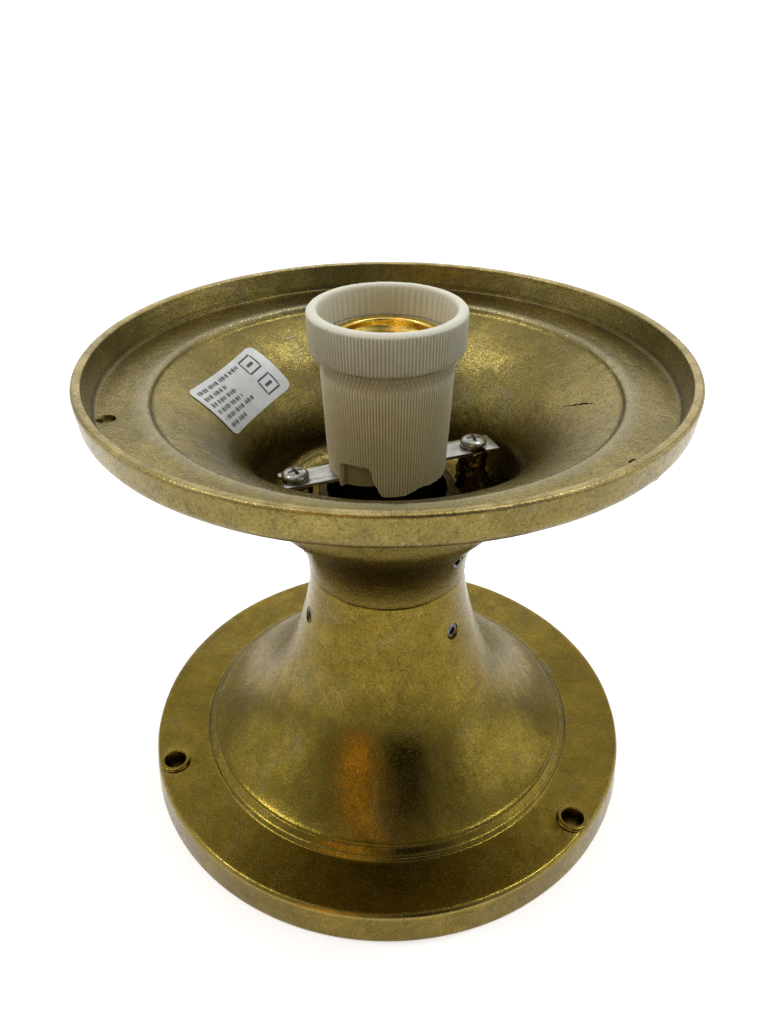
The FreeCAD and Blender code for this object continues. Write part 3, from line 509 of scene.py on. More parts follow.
def dish_relief(points, path):
    """Casting relief of the dish: coarser inside the bowl, pitted and chipped along the bowl's edge."""
    radius, level = path[:, 0], path[:, 1]
    inside = (level > BOWL_FLOOR - 0.1) & (radius > 24.0) & (radius < 74.0)
    upper_side = inside & (level > circle_floor(radius))
    lift = rough_noise(points, 20.0, 2, 21) * 0.06 + rough_noise(points, 3.0, 2, 22) * 0.02
    pits = peaks(points, 1.7, 23, 0.35) * peaks(points, 9.0, 24, -0.4)
    lift -= upper_side * pits * 0.3
    edge = np.exp(-((radius - BOWL_EDGE_RADIUS - 1.4) / 1.0) ** 2) * upper_side
    chips = peaks(points, 3.0, 31, 0.3) * peaks(points, 15.0, 32, -0.2)
    lift -= edge * chips * 1.1
    lift *= np.where(radius < NECK_BORE + 0.2, 0.0, 1.0)
    rim = (radius > 75.0) & (level > RIM_LEVEL - 2.0)
    lift = np.where(rim, np.minimum(lift * 0.5, 0.0) - 0.02, lift)
    flat = (radius > RIM_RADIUS - 1.0) | (level < SEAM_LEVEL + 0.3)
    return np.where(flat, np.minimum(lift, 0.0), lift)


def circle_floor(radius):
    """Height of the bowl's underside at each radius, or the floor's where the bowl has no underside."""
    gap = np.clip((BOWL_SWEEP - 0.75) ** 2 - (BOWL_CENTRE[0] - radius) ** 2, 0, None)
    return np.where(radius < 34.2, BOWL_FLOOR - 1.0, BOWL_CENTRE[1] + np.sqrt(gap))


def rough_post(name, angle):
    """A rough cast post under one end of the strap."""
    path = [(0.4, BOWL_FLOOR - 1.5), (4.6, BOWL_FLOOR - 1.5)]
    line_to(path, (3.9, STRAP_BOTTOM - 0.5), 0.7)
    line_to(path, (3.4, STRAP_BOTTOM - 0.02), 0.5)
    line_to(path, (0.4, STRAP_BOTTOM - 0.02), 0.7)

    def relief(points, outline):
        shifted = points + np.array([angle * 9.0, 0, 0])
        side = (outline[:, 1] < STRAP_BOTTOM - 0.3) & (outline[:, 0] > 1.0)
        return rough_noise(shifted, 1.6, 3, 41) * 0.8 * side

    post = turned(name, path, 56, relief)
    move(post, upright(POST_CIRCLE, angle, 0.0))
    return post


def guard_boss(name, angle):
    """A low round boss on the underside of the dish's flat ring, round a guard's screw hole."""
    path = [(0.4, GUARD_BOSS_FOOT), (GUARD_BOSS_RADIUS - 0.75, GUARD_BOSS_FOOT)]
    arc_to(path, (GUARD_BOSS_RADIUS, GUARD_BOSS_FOOT + 0.8), 0.8, 1, 0.3)
    line_to(path, (GUARD_BOSS_RADIUS - 0.15, ANNULUS_LEVEL - 0.6), 1.0)
    line_to(path, (0.4, ANNULUS_LEVEL - 0.6), 1.5)
    boss = turned(name, path, 56)
    move(boss, upright(GUARD_CIRCLE, angle, 0.0))
    return boss


def make_dish_casting():
    """The dish casting, with strap posts, guard bosses and holes."""
    casting = turned("dish_casting_skin", dish_outline(), TURNS, dish_relief)
    for angle in (STRAP_ANGLE, STRAP_ANGLE + math.pi):
        combine(casting, rough_post("post_tool", angle), "UNION")
        tap = round_bar("tap_tool", STRAP_TAP, STRAP_BOTTOM - 11.0, STRAP_BOTTOM + 1.0)
        move(tap, upright(POST_CIRCLE, angle, 0.0))
        combine(casting, tap, "DIFFERENCE")
    combine(casting, crack_tool(), "DIFFERENCE")
    for angle in LOCK_ANGLES:
        combine(casting, guard_boss("guard_boss_tool", angle), "UNION")
        hole = chamfered_hole("guard_tool", GUARD_HOLE, PLATE_BOTTOM - 2.3, ANNULUS_LEVEL + 0.1, 0.5)
        move(hole, upright(GUARD_CIRCLE, angle, 0.0))
        combine(casting, hole, "DIFFERENCE")
    grub_reach = circle_radius(UPPER_GRUB_LEVEL, DISH_NECK_CENTRE, DISH_NECK_SWEEP) - TUBE_OUTER
    drill_grubs(casting, UPPER_GRUB_LEVEL, grub_reach)
    return casting


# ---------------------------------------------------------------- neck tube and grub screws

TUBE_INNER = 17.3
GRUB_FLATS = 2.5


def make_neck_tube():
    """Plain drawn tube with broken edges."""
    path = [(TUBE_INNER + 0.2, TUBE_BOTTOM), (TUBE_OUTER, TUBE_BOTTOM)]
    line_to(path, (TUBE_OUTER, TUBE_TOP - 0.5), 3.0)
    arc_to(path, (TUBE_OUTER - 0.5, TUBE_TOP), 0.5, 1, 0.2)
    line_to(path, (TUBE_INNER + 0.5, TUBE_TOP), 0.7)
    arc_to(path, (TUBE_INNER, TUBE_TOP - 0.5), 0.5, 1, 0.2)
    line_to(path, (TUBE_INNER, TUBE_BOTTOM + 0.3), 3.0)
    return turned("neck_tube_skin", path, 192)


def make_grub_screw(name, angle, level, radius, length):
    """Headless screw with a chamfered end and a hex socket."""
    path = [(0.3, 0.1), (radius - 0.5, 0.1)]
    line_to(path, (radius, 0.6), 0.4)
    line_to(path, (radius, length - 0.45), 1.0)
    line_to(path, (radius - 0.45, length), 0.3)
    line_to(path, (0.3, length), 0.6)
    screw = turned(name, path, 64)
    hexagon = regular(GRUB_FLATS / 2 / math.cos(math.pi / 6), 6)
    combine(screw, prism("socket_tool", hexagon, length - 2.6, length + 1.0), "DIFFERENCE", 30.0)
    move(screw, radial(NECK_BORE, angle, level))
    return screw


# ---------------------------------------------------------------- porcelain

RIB_COUNT = 140
LATTICE_COUNT = 96
LATTICE_LOW = 136.2
PORCELAIN_TURNS = RIB_COUNT * 8
BODY_RADIUS = 18.15
BODY_TOP = 139.6
FOOT_NARROW = 16.45
SKIRT_BOTTOM = 142.0
LEDGE_SEAT = 144.2
CAVITY_RADIUS = 14.2
FACET_LEAN = math.radians(3.8)
FACET_TURN = STRAP_ANGLE - 0.12
POCKET_NEAR = 5.3
POCKET_FAR = 13.2
CHANNEL_HALF = 4.45
POCKET_TOP = 112.5
CURTAIN_START = 219.4
CURTAIN_END = 354.0


def porcelain_outline():
    """Half section of the porcelain: outside up to the lip, then down the mouth to the shell's cavity."""
    low = PORCELAIN_BOTTOM
    path = [(0.4, low), (FOOT_NARROW - 0.5, low)]
    arc_to(path, (FOOT_NARROW, low + 0.5), 0.5, 1, 0.25)
    line_to(path, (BODY_RADIUS - 0.2, LATTICE_LOW), 0.9)
    line_to(path, (BODY_RADIUS, BODY_TOP), 0.3)
    arc_to(path, (BODY_RADIUS + 0.5, BODY_TOP + 0.9), 1.6, -1, 0.3)
    line_to(path, (SKIRT_RADIUS - 0.75, SKIRT_BOTTOM - 0.25), 0.35)
    arc_to(path, (SKIRT_RADIUS - 0.3, SKIRT_BOTTOM + 0.6), 0.9, 1, 0.25)
    line_to(path, (SKIRT_RADIUS, PORCELAIN_TOP - 1.5), 0.6)
    arc_to(path, (SKIRT_RADIUS - 1.4, PORCELAIN_TOP), 1.45, 1, 0.3)
    line_to(path, (18.9, PORCELAIN_TOP), 0.3)
    arc_to(path, (18.0, PORCELAIN_TOP - 0.9), 0.9, 1, 0.25)
    line_to(path, (17.4, LEDGE_SEAT), 0.7)
    line_to(path, (CAVITY_RADIUS, LEDGE_SEAT), 0.8)
    line_to(path, (CAVITY_RADIUS, SHELL_BOTTOM), 4.0)
    line_to(path, (0.4, SHELL_BOTTOM), 2.5)
    return path


def porcelain_relief(points, path):
    """Ribs down the body, the skirt and the mouth, and a crossed pattern on the shoulder."""
    angle = np.arctan2(points[:, 1], points[:, 0])
    radius, level = path[:, 0], path[:, 1]
    outside = radius > FOOT_NARROW - 1.2
    wave = 0.5 + 0.5 * np.cos(angle * RIB_COUNT)
    ridge = wave ** 0.6
    body = outside & (level > PORCELAIN_BOTTOM + 0.3) & (level < LATTICE_LOW)
    skirt = outside & (level > SKIRT_BOTTOM) & (level < PORCELAIN_TOP - 1.0) & (radius > 20.0)
    lattice = outside & (level >= LATTICE_LOW) & (level <= SKIRT_BOTTOM - 0.3) & (radius > 17.0)
    mouth = (radius > 17.35) & (radius < 18.05) & (level > LEDGE_SEAT + 0.3) & (level < PORCELAIN_TOP - 0.8)
    lift = body * (ridge - 1.0) * 0.32 + skirt * (ridge - 1.0) * 0.30
    slant = (level - LATTICE_LOW) * TAU / 3.2
    crossed = np.cos((angle * LATTICE_COUNT + slant) / 2) * np.cos((angle * LATTICE_COUNT - slant) / 2)
    lift += lattice * (np.abs(crossed) * 0.34 - 0.38)
    lift += mouth * (0.5 + 0.5 * np.cos(angle * 60)) * 0.22
    lift += rough_noise(points, 9.0, 2, 51) * 0.05 * outside
    lip = level > PORCELAIN_TOP - 1.6
    worn = np.minimum(lift - 0.06 + smooth_noise(points, 0.9, 53) * 0.05, 0.0)
    return np.where(lip, worn, np.minimum(lift, 0.22))


def shifted_box(name, low, high, turn):
    """A box given by its corners in a frame turned about Z, in millimetres."""
    corners = [(low[0], low[1]), (high[0], low[1]), (high[0], high[1]), (low[0], high[1])]
    block = prism(name, corners, low[2], high[2])
    move(block, Matrix.Rotation(turn, 4, "Z"))
    return block


def make_porcelain():
    """Ribbed porcelain body with its facet, wire notch, strap channel and terminal pockets."""
    body = turned("lampholder_porcelain", porcelain_outline(), PORCELAIN_TURNS, porcelain_relief, 60.0)
    low = PORCELAIN_BOTTOM
    facet = shifted_box("facet_tool", (-30, -7.5, low - 6), (-17.3, 7.5, SKIRT_BOTTOM - 2.6), 0.0)
    lift = Matrix.Translation((0, 0, SKIRT_BOTTOM))
    lower = Matrix.Translation((0, 0, -SKIRT_BOTTOM))
    tilt = lift @ Matrix.Rotation(FACET_LEAN, 4, "Y") @ lower
    move(facet, Matrix.Rotation(FACET_TURN, 4, "Z") @ tilt)
    combine(body, facet, "DIFFERENCE", 50.0)
    combine(body, curtain_tool(), "DIFFERENCE", 50.0)
    for low_y, high_y in ((POCKET_NEAR, POCKET_FAR), (-POCKET_FAR, -POCKET_NEAR)):
        pocket = shifted_box("pocket_tool", (-5.5, low_y, low - 1), (5.5, high_y, POCKET_TOP), STRAP_ANGLE)
        combine(body, pocket, "DIFFERENCE", 50.0)
    channel_high = (25, CHANNEL_HALF, STRAP_TOP + 0.05)
    channel = shifted_box("channel_tool", (-25, -CHANNEL_HALF, low - 1), channel_high, STRAP_ANGLE)
    combine(body, channel, "DIFFERENCE", 50.0)
    return body


def curtain_tool():
    """A tool that cuts the wire notch and the uneven lower edge out of the porcelain's front."""
    angles = np.linspace(CURTAIN_START, CURTAIN_END, 300)
    edge = [(CURTAIN_START, 113.0), (228, 113.8), (240, 114.2), (252, 114.1), (255, 112.8), (257.5, 109.6),
            (263, 106.6), (270, 104.6), (281, 104.6), (300, 107.0), (341, 106.4), (350, 107.4),
            (CURTAIN_END, 104.6)]
    level = np.interp(angles, *zip(*edge))
    walk = np.stack([angles * 0.3, angles * 0, angles * 0], axis=1)
    level = level + smooth_noise(walk, 1.1, 61) * 0.22 + smooth_noise(walk, 0.35, 62) * 0.08
    inner = np.interp(angles, (CURTAIN_START, 255, 266), (14.3, 10.6, 10.0))
    outer = SKIRT_RADIUS + 3.0
    low = PORCELAIN_BOTTOM - 1.0
    rings = []
    for angle, high, reach in zip(np.radians(angles), level, inner):
        section = ((reach, low), (outer, low), (outer, high), (reach, high))
        rings.append([(radius * math.cos(angle), radius * math.sin(angle), z) for radius, z in section])
    return stack("curtain_tool", rings[::-1])


# ---------------------------------------------------------------- threaded shell

def make_shell():
    """Rolled brass shell with a true helical thread and a flared lip."""
    thick = 0.45
    crest = 12.3
    depth = 1.15
    pitch = 3.6
    top = SHELL_TOP
    outline = [(8.8, SHELL_BOTTOM), (13.6, SHELL_BOTTOM)]
    line_to(outline, (crest + depth + thick, SHELL_BOTTOM + 0.8), 0.4)
    line_to(outline, (crest + depth + thick, top - 1.2), 0.36)
    arc_to(outline, (crest + depth + thick + 0.4, top - thick), 0.8, -1, 0.25)
    line_to(outline, (SHELL_LIP, top - thick), 0.4)
    arc_to(outline, (SHELL_LIP, top), 0.25, 1, 0.15)
    line_to(outline, (crest + depth + 0.5, top), 0.4)
    arc_to(outline, (crest + depth, top - 0.7), 0.8, 1, 0.25)
    line_to(outline, (crest + depth, SHELL_BOTTOM + 1.0), 0.36)
    line_to(outline, (crest + depth - 0.6, SHELL_BOTTOM + thick), 0.4)
    line_to(outline, (8.8, SHELL_BOTTOM + thick), 1.0)

    def thread(points, path):
        angle = np.arctan2(points[:, 1], points[:, 0])
        level = path[:, 1]
        fade = np.clip((level - SHELL_BOTTOM - 1.2) / 1.5, 0, 1) * np.clip((top - 1.6 - level) / 1.5, 0, 1)
        wave = 0.5 + 0.5 * np.cos(TAU * level / pitch - angle)
        wall = (path[:, 0] > crest + depth - 0.1) & (path[:, 0] < crest + depth + thick + 0.1)
        inner = path[:, 0] < crest + depth + 0.2
        return wall * fade * wave * depth * np.where(inner, 1.0, -1.0)

    return turned("lampholder_shell", outline, 240, thread)


# ---------------------------------------------------------------- strap and its screws

STRAP_HALF = 4.25
HOLDER_HOLE = 1.6
HOLDER_PLACE = 5.4
LEFT_REACH = 31.0
RIGHT_REACH = 33.4
SLOT_HALF = 2.25


def half_circle(centre, radius, first, last, count=14):
    """Points of an arc about a centre, angles in degrees."""
    angles = np.radians(np.linspace(first, last, count))
    return [(centre[0] + radius * math.cos(a), centre[1] + radius * math.sin(a)) for a in angles]


def make_strap():
    """Plated strap, its left slot open at the end and its right slot open towards the front."""
    corners = [(-LEFT_REACH, -STRAP_HALF), (POST_CIRCLE - SLOT_HALF, -STRAP_HALF)]
    corners += half_circle((POST_CIRCLE, 0), SLOT_HALF, 180, 0)
    corners += [(POST_CIRCLE + SLOT_HALF, -STRAP_HALF), (RIGHT_REACH, -STRAP_HALF)]
    corners += [(RIGHT_REACH, STRAP_HALF), (-LEFT_REACH, STRAP_HALF), (-LEFT_REACH, SLOT_HALF)]
    corners += half_circle((-POST_CIRCLE, 0), SLOT_HALF, 90, -90)
    corners += [(-LEFT_REACH, -SLOT_HALF)]
    strap = prism("holder_strap", corners, STRAP_BOTTOM, STRAP_TOP)
    for side in (-1, 1):
        hole = round_bar("strap_hole_tool", HOLDER_HOLE, STRAP_BOTTOM - 1, STRAP_TOP + 1)
        move(hole, Matrix.Translation((side * HOLDER_PLACE, 0, 0)))
        combine(strap, hole, "DIFFERENCE", 30.0)
    bevel(strap, 0.16, 2)
    move(strap, Matrix.Rotation(STRAP_ANGLE, 4, "Z"))
    return strap


def cross_blade(name, half_length, half_width, depth, top, turn):
    """One tapered blade of a cross recess."""
    rings = []
    for level, shorten, narrow in ((top - depth, 0.62, 0.8), (top + 0.3, 1.05, 1.05)):
        x = half_length * shorten
        y = half_width * narrow
        rings.append([(-x, -y, level), (x, -y, level), (x, y, level), (-x, y, level)])
    blade = stack(name, rings)
    move(blade, Matrix.Rotation(turn, 4, "Z"))
    return blade


def make_strap_screw(name, side, turn):
    """Pan-head screw with a cross recess, standing through the strap."""
    top = span(name)[1].z
    bottom = span(name)[0].z
    path = [(0.3, bottom), (1.5, bottom)]
    line_to(path, (1.98, bottom + 0.5), 0.4)
    line_to(path, (1.98, STRAP_TOP), 2.0)
    line_to(path, (3.5, STRAP_TOP), 0.6)
    arc_to(path, (3.83, STRAP_TOP + 0.35), 0.38, 1, 0.15)
    line_to(path, (3.83, STRAP_TOP + 1.1), 0.3)
    arc_to(path, (2.9, top - 0.4), 1.6, 1, 0.2)
    arc_to(path, (0.3, top - 0.01), 11.0, 1, 0.4)
    screw = turned(f"{name}_skin", path, 96)
    for blade_turn in (turn, turn + math.pi / 2):
        combine(screw, cross_blade("blade_tool", 2.25, 0.55, 2.0, top, blade_turn), "DIFFERENCE", 35.0)
    bevel(screw, 0.07, 2, 40.0)
    move(screw, upright(side * POST_CIRCLE, STRAP_ANGLE, 0.0) @ Matrix.Rotation(-STRAP_ANGLE, 4, "Z"))
    return screw


# ---------------------------------------------------------------- label

LABEL_ANGLE = math.radians(160.0)
LABEL_WIDTH = 36.0
LABEL_HEIGHT = 16.65
LABEL_TOP_RADIUS = 52.1
LABEL_CORNER = 2.0
LABEL_STEPS = 24


def label_point(across, down, lift):
    """A point of the label, which lies along the bowl's straightest lines from its middle meridian."""
    first = math.acos((BOWL_CENTRE[0] - LABEL_TOP_RADIUS) / BOWL_SWEEP)
    start_radius = BOWL_CENTRE[0] - BOWL_SWEEP * math.cos(first - down / BOWL_SWEEP)
    step = across / LABEL_STEPS
    turn = 0.0
    slide = down
    speed = 0.0
    for _ in range(LABEL_STEPS):
        swing = first - slide / BOWL_SWEEP
        radius = BOWL_CENTRE[0] - BOWL_SWEEP * math.cos(swing)
        turn += start_radius / radius ** 2 * step
        speed -= start_radius ** 2 / radius ** 3 * math.sin(swing) * step
        slide += speed * step
    swing = first - slide / BOWL_SWEEP
    radius = BOWL_CENTRE[0] - (BOWL_SWEEP + lift) * math.cos(swing)
    level = BOWL_CENTRE[1] + (BOWL_SWEEP + lift) * math.sin(swing)
    place = LABEL_ANGLE - turn
    return radius * math.cos(place), radius * math.sin(place), level


def label_sheet(left, right, top, bottom, corner, low, high, step=0.6):
    """A thin rounded rectangle laid on the bowl's wall, in label coordinates from its upper left corner."""
    columns = max(2, int((right - left) / step) + 1)
    rows = max(2, int((bottom - top) / step) + 1)
    xs = np.linspace(left, right, columns)
    ys = np.linspace(top, bottom, rows)
    points = []
    for lift in (high, low):
        for y in ys:
            inset = corner_inset(y - top, bottom - y, corner)
            for x in xs:
                share = (x - left) / (right - left)
                place = left + inset + (right - left - 2 * inset) * share
                points.append(label_point(place - LABEL_WIDTH / 2, y, lift))
    sheet = rows * columns
    faces = []
    for r in range(rows - 1):
        for c in range(columns - 1):
            a = r * columns + c
            faces.append((a, a + columns, a + columns + 1, a + 1))
            faces.append((sheet + a, sheet + a + 1, sheet + a + columns + 1, sheet + a + columns))
    border = list(range(columns)) + [r * columns + columns - 1 for r in range(1, rows)]
    border += [(rows - 1) * columns + c for c in range(columns - 2, -1, -1)]
    border += [r * columns for r in range(rows - 2, 0, -1)]
    for i, a in enumerate(border):
        b = border[(i + 1) % len(border)]
        faces.append((a, b, sheet + b, sheet + a))
    return points, faces


def corner_inset(above, below, corner):
    """How far a rounded rectangle's side draws in near its top and bottom edges."""
    gap = min(above, below)
    if gap >= corner:
        return 0.0
    return corner - math.sqrt(max(corner ** 2 - (corner - gap) ** 2, 0.0))


PRINT_ENDS = (25.0, 16.0, 18.0, 17.5, 22.0, 14.5)
PRINT_START = 2.2
PRINT_PITCH = 2.35


def make_label():
    """Silver-white label with rows of plain dashes in place of print, and two plain frames."""
    points, faces = label_sheet(0, LABEL_WIDTH, 0, LABEL_HEIGHT, LABEL_CORNER, 0.02, 0.17)
    label = make_object("rating_label_foil", points, faces, 60.0)
    ink_points = []
    ink_faces = []
    for row, end in enumerate(PRINT_ENDS):
        top = 1.7 + row * PRINT_PITCH
        left = PRINT_START
        for stroke in range(40):
            length = 0.75 + 0.35 * math.sin(stroke * 2.3 + row)
            if left + length > end:
                break
            add_sheet(ink_points, ink_faces, left, left + length, top, top + 1.45)
            left += length + (1.0 if (stroke + row) % 5 == 4 else 0.3)
    for left, top in ((26.2, 1.6), (26.2, 9.2)):
        add_frame(ink_points, ink_faces, left, top, 6.4, 5.4)
    ink = make_object("rating_label_print", ink_points, ink_faces, 60.0)
    return label, ink


def add_sheet(points, faces, left, right, top, bottom):
    """Add one printed bar to the lists of the label's print."""
    new_points, new_faces = label_sheet(left, right, top, bottom, 0.2, 0.1, 0.185, 0.45)
    base = len(points)
    points.extend(new_points)
    faces.extend(tuple(base + i for i in face) for face in new_faces)


def add_frame(points, faces, left, top, width, height):
    """Add a plain printed frame with one bar in it."""
    line = 0.6
    add_sheet(points, faces, left, left + width, top, top + line)
    add_sheet(points, faces, left, left + width, top + height - line, top + height)
    add_sheet(points, faces, left, left + line, top + line, top + height - line)
    add_sheet(points, faces, left + width - line, left + width, top + line, top + height - line)
    add_sheet(points, faces, left + 1.6, left + width - 1.6, top + 2.2, top + 3.2)


# ---------------------------------------------------------------- materials

def opaque(colour):
    """A colour or a grey with full opacity."""
    return (colour, colour, colour, 1) if isinstance(colour, (int, float)) else (*colour, 1)


class Nodes:
    """Short calls for the shader nodes of a material or a world."""

    def __init__(self, owner, shader, space):
        owner.use_nodes = True
        self.owner = owner
        self.tree = owner.node_tree
        self.shader = self.tree.nodes[shader]
        self.place = self.new("ShaderNodeTexCoord").outputs[space]

    def feed(self, socket, value):
        """Link a socket to another node's output, or set its number, vector, grey or colour."""
        if isinstance(value, bpy.types.NodeSocket):
            self.tree.links.new(value, socket)
        else:
            socket.default_value = opaque(value) if socket.type == "RGBA" else value

    def set(self, node=None, **inputs):
        """Set or link inputs of a node, or of the shader."""
        for name, value in inputs.items():
            self.feed((node or self.shader).inputs[name.replace("_", " ")], value)

    def new(self, kind, **inputs):
        """A node with some of its inputs set or linked."""
        node = self.tree.nodes.new(kind)
        self.set(node, **inputs)
        return node

    def noise(self, scale, detail=4.0, roughness=0.55, distortion=0.0, place=None):
        """Noise from 0 to 1; scale is in features per metre."""
        node = self.new("ShaderNodeTexNoise", Vector=place or self.place, Scale=scale, Detail=detail,
                        Roughness=roughness, Distortion=distortion)
        return node.outputs["Fac"]

    def ramp(self, value, *stops):
        """A colour ramp of (position, colour or grey) stops."""
        node = self.new("ShaderNodeValToRGB", Fac=value)
        elements = node.color_ramp.elements
        while len(elements) < len(stops):
            elements.new(0.5)
        for element, (position, colour) in zip(elements, stops):
            element.position = position
            element.color = opaque(colour)
        return node.outputs["Color"]

    def mix(self, factor, first, second, blend="MIX"):
        """Mix two colours or greys."""
        node = self.tree.nodes.new("ShaderNodeMix")
        node.data_type = "RGBA"
        node.blend_type = blend
        for slot, value in ((0, factor), (6, first), (7, second)):
            self.feed(node.inputs[slot], value)
        return node.outputs[2]

    def math(self, operation, first, second=0.0):
        """A sum on one or two values."""
        node = self.tree.nodes.new("ShaderNodeMath")
        node.operation = operation
        for socket, value in zip(node.inputs, (first, second)):
            self.feed(socket, value)
        return node.outputs[0]

    def times(self, first, second):
        """The product of two values."""
        return self.math("MULTIPLY", first, second)

    def fade(self, value, low, high):
        """0 up to `low`, 1 from `high` on and a straight rise between."""
        return self.new("ShaderNodeMapRange", Value=value, From_Min=low, From_Max=high).outputs["Result"]

    def height(self):
        """Height above the foot's face, in tenths of a metre."""
        return self.times(self.new("ShaderNodeSeparateXYZ", Vector=self.place).outputs["Z"], 10.0)

    def radius(self):
        """Distance from the lamp's axis, in tenths of a metre."""
        node = self.new("ShaderNodeSeparateXYZ", Vector=self.place)
        squares = [self.math("POWER", node.outputs[axis], 2.0) for axis in "XY"]
        return self.times(self.math("SQRT", self.math("ADD", *squares)), 10.0)

    def line(self, value, centre, half):
        """1 where a value is near a centre, falling to 0 at `half` from it."""
        gap = self.math("ABSOLUTE", self.math("SUBTRACT", value, centre))
        return self.ramp(self.math("DIVIDE", gap, half), (0.0, 1.0), (1.0, 0.0))

    def bump(self, *layers):
        """Bump from (height, distance in millimetres) layers, laid one on the other."""
        normal = None
        for height, distance in layers:
            node = self.new("ShaderNodeBump", Strength=1.0, Distance=distance * MM, Height=height)
            if normal is not None:
                self.set(node, Normal=normal)
            normal = node.outputs["Normal"]
        self.set(Normal=normal)


def material_kit(name):
    """The node kit of a new material, in the object's own coordinates."""
    return Nodes(bpy.data.materials.new(name), "Principled BSDF", "Object")


def brass_material(name, gold, grain, dull, glitter, rough):
    """Aged brass: patina over gold, with speckle, pale flecks, curled scratches and grey smudges."""
    kit = material_kit(name)
    gold = np.array(gold)
    clouds = kit.noise(70.0, 6.0, 0.68, 0.4)
    patches = kit.noise(150.0, 6.0, 0.7, 0.6)
    speckle = kit.noise(1500.0, 4.0, 0.7)
    fine = kit.noise(3000.0, 2.0, 0.5)
    base = kit.ramp(clouds, (0.34, tuple(gold * 0.74)), (0.52, tuple(gold)), (0.68, tuple(gold * 1.24)))
    stained = kit.mix(kit.ramp(patches, (0.46, 0.0), (0.68, 0.8)), base, tuple(gold * (0.62, 0.66, 0.8)))
    smudge = kit.ramp(kit.noise(60.0, 5.0, 0.7, 1.2), (0.54, 0.0), (0.74, dull))
    greyed = kit.mix(smudge, stained, (0.19, 0.175, 0.125))
    pits = kit.ramp(speckle, (0.50, 0.0), (0.64, 1.0))
    spotted = kit.mix(kit.times(pits, 0.55), greyed, tuple(gold * 0.32))
    flecks = kit.ramp(kit.noise(2100.0, 3.0, 0.75), (0.55, 0.0), (0.66, 1.0))
    worn = kit.ramp(kit.noise(130.0, 4.0, 0.7), (0.42, 0.35), (0.62, 1.0))
    bright = kit.times(flecks, kit.times(worn, glitter))
    golden = kit.mix(bright, spotted, tuple(gold * 2.2))
    curl = kit.line(kit.noise(170.0, 2.0, 0.5, 2.2), 0.5, 0.011)
    scratched = kit.times(curl, kit.ramp(kit.noise(210.0, 2.0), (0.54, 0.0), (0.61, 0.7)))
    tone = kit.mix(scratched, golden, tuple(gold * (2.0, 2.1, 3.2)))
    kit.set(Metallic=1.0)
    gloss = kit.ramp(patches, (0.30, rough), (0.70, rough + 0.13))
    kit.set(Roughness=kit.mix(kit.times(pits, 0.35), gloss, 0.7))
    kit.bump((kit.noise(420.0, 5.0, 0.6), grain), (speckle, grain * 0.6), (fine, grain * 0.2))
    return kit, tone


def foot_brass():
    """The base casting's brass, brighter where its edges are worn."""
    kit, tone = brass_material("foot_brass", (0.190, 0.136, 0.022), 0.045, 0.4, 0.7, 0.14)
    height = kit.height()
    edge = kit.times(kit.line(height, 0.098, 0.010), kit.line(kit.radius(), 0.777, 0.012))
    kit.set(Base_Color=kit.mix(kit.times(edge, 0.6), tone, (0.42, 0.32, 0.11)))
    return kit.owner


def dish_brass():
    """Dish brass: bright rim edges, a dull band round the bowl, painted shade at the rim's foot, neck and
    posts.
    """
    kit, tone = brass_material("dish_brass", (0.220, 0.172, 0.050), 0.13, 0.5, 0.5, 0.16)
    height, radius = kit.height(), kit.radius()
    top = kit.math("GREATER_THAN", height, 1.405)
    wear = kit.times(top, kit.ramp(kit.noise(150.0, 4.0), (0.40, 0.15), (0.62, 0.75)))
    rim = kit.mix(wear, tone, (0.44, 0.35, 0.15))
    flat = kit.math("GREATER_THAN", height, 1.322)
    band = kit.times(flat, kit.line(radius, 0.634, 0.034))
    matte = kit.mix(kit.times(band, 0.6), rim, (0.30, 0.275, 0.185))
    # Painted shade: a near-black line in the corner where the flat ring meets the rim's inner wall.
    corner = kit.times(kit.line(height, 1.335, 0.018), kit.line(radius, 0.754, 0.012))
    crease_shaded = kit.mix(kit.times(corner, 0.85), matte, (0.035, 0.026, 0.010))
    # Painted shade: the neck below the bowl and the outside under the dish's overhang are painted dark
    # olive, standing in for the dish's shadow.
    underside_shade = kit.ramp(kit.math("SUBTRACT", height, 0.5), (0.46, 1.0), (0.64, 0.0))
    outer = kit.times(underside_shade, kit.math("GREATER_THAN", radius, 0.353))
    low = kit.math("MAXIMUM", kit.math("LESS_THAN", height, 0.93), outer)
    neck = kit.mix(kit.times(low, 0.75), crease_shaded, (0.140, 0.099, 0.016))
    # Painted shade: the posts and the bowl's bottom round them, under the porcelain, are painted darker.
    posts = kit.times(kit.line(height, 1.0, 0.066), kit.math("LESS_THAN", radius, 0.325))
    kit.set(Base_Color=kit.mix(kit.times(posts, 1.6), neck, (0.085, 0.064, 0.019)))
    return kit.owner


def tube_material():
    """Drawn tube: copper-brown inner edge, a dark olive tarnished end and, below it, painted near-black
    shade.
    """
    kit = material_kit("tube_tarnish_and_shade")
    copper = kit.ramp(kit.noise(140.0), (0.35, (0.16, 0.08, 0.03)), (0.65, (0.34, 0.19, 0.075)))
    olive = kit.ramp(kit.noise(600.0, 4.0), (0.35, (0.03, 0.024, 0.008)), (0.65, (0.09, 0.07, 0.026)))
    mouth = kit.math("GREATER_THAN", kit.height(), 0.991)
    edge = kit.times(mouth, kit.math("LESS_THAN", kit.radius(), 0.1775))
    # Painted shade: below its top end the tube is painted near black, standing in for shade down the bore.
    outer = kit.mix(mouth, (0.012, 0.010, 0.006), olive)
    kit.set(Base_Color=kit.mix(edge, outer, copper), Metallic=1.0)
    kit.set(Roughness=kit.ramp(kit.noise(300.0), (0.3, 0.38), (0.7, 0.62)))
    kit.bump((kit.noise(900.0), 0.05))
    return kit.owner


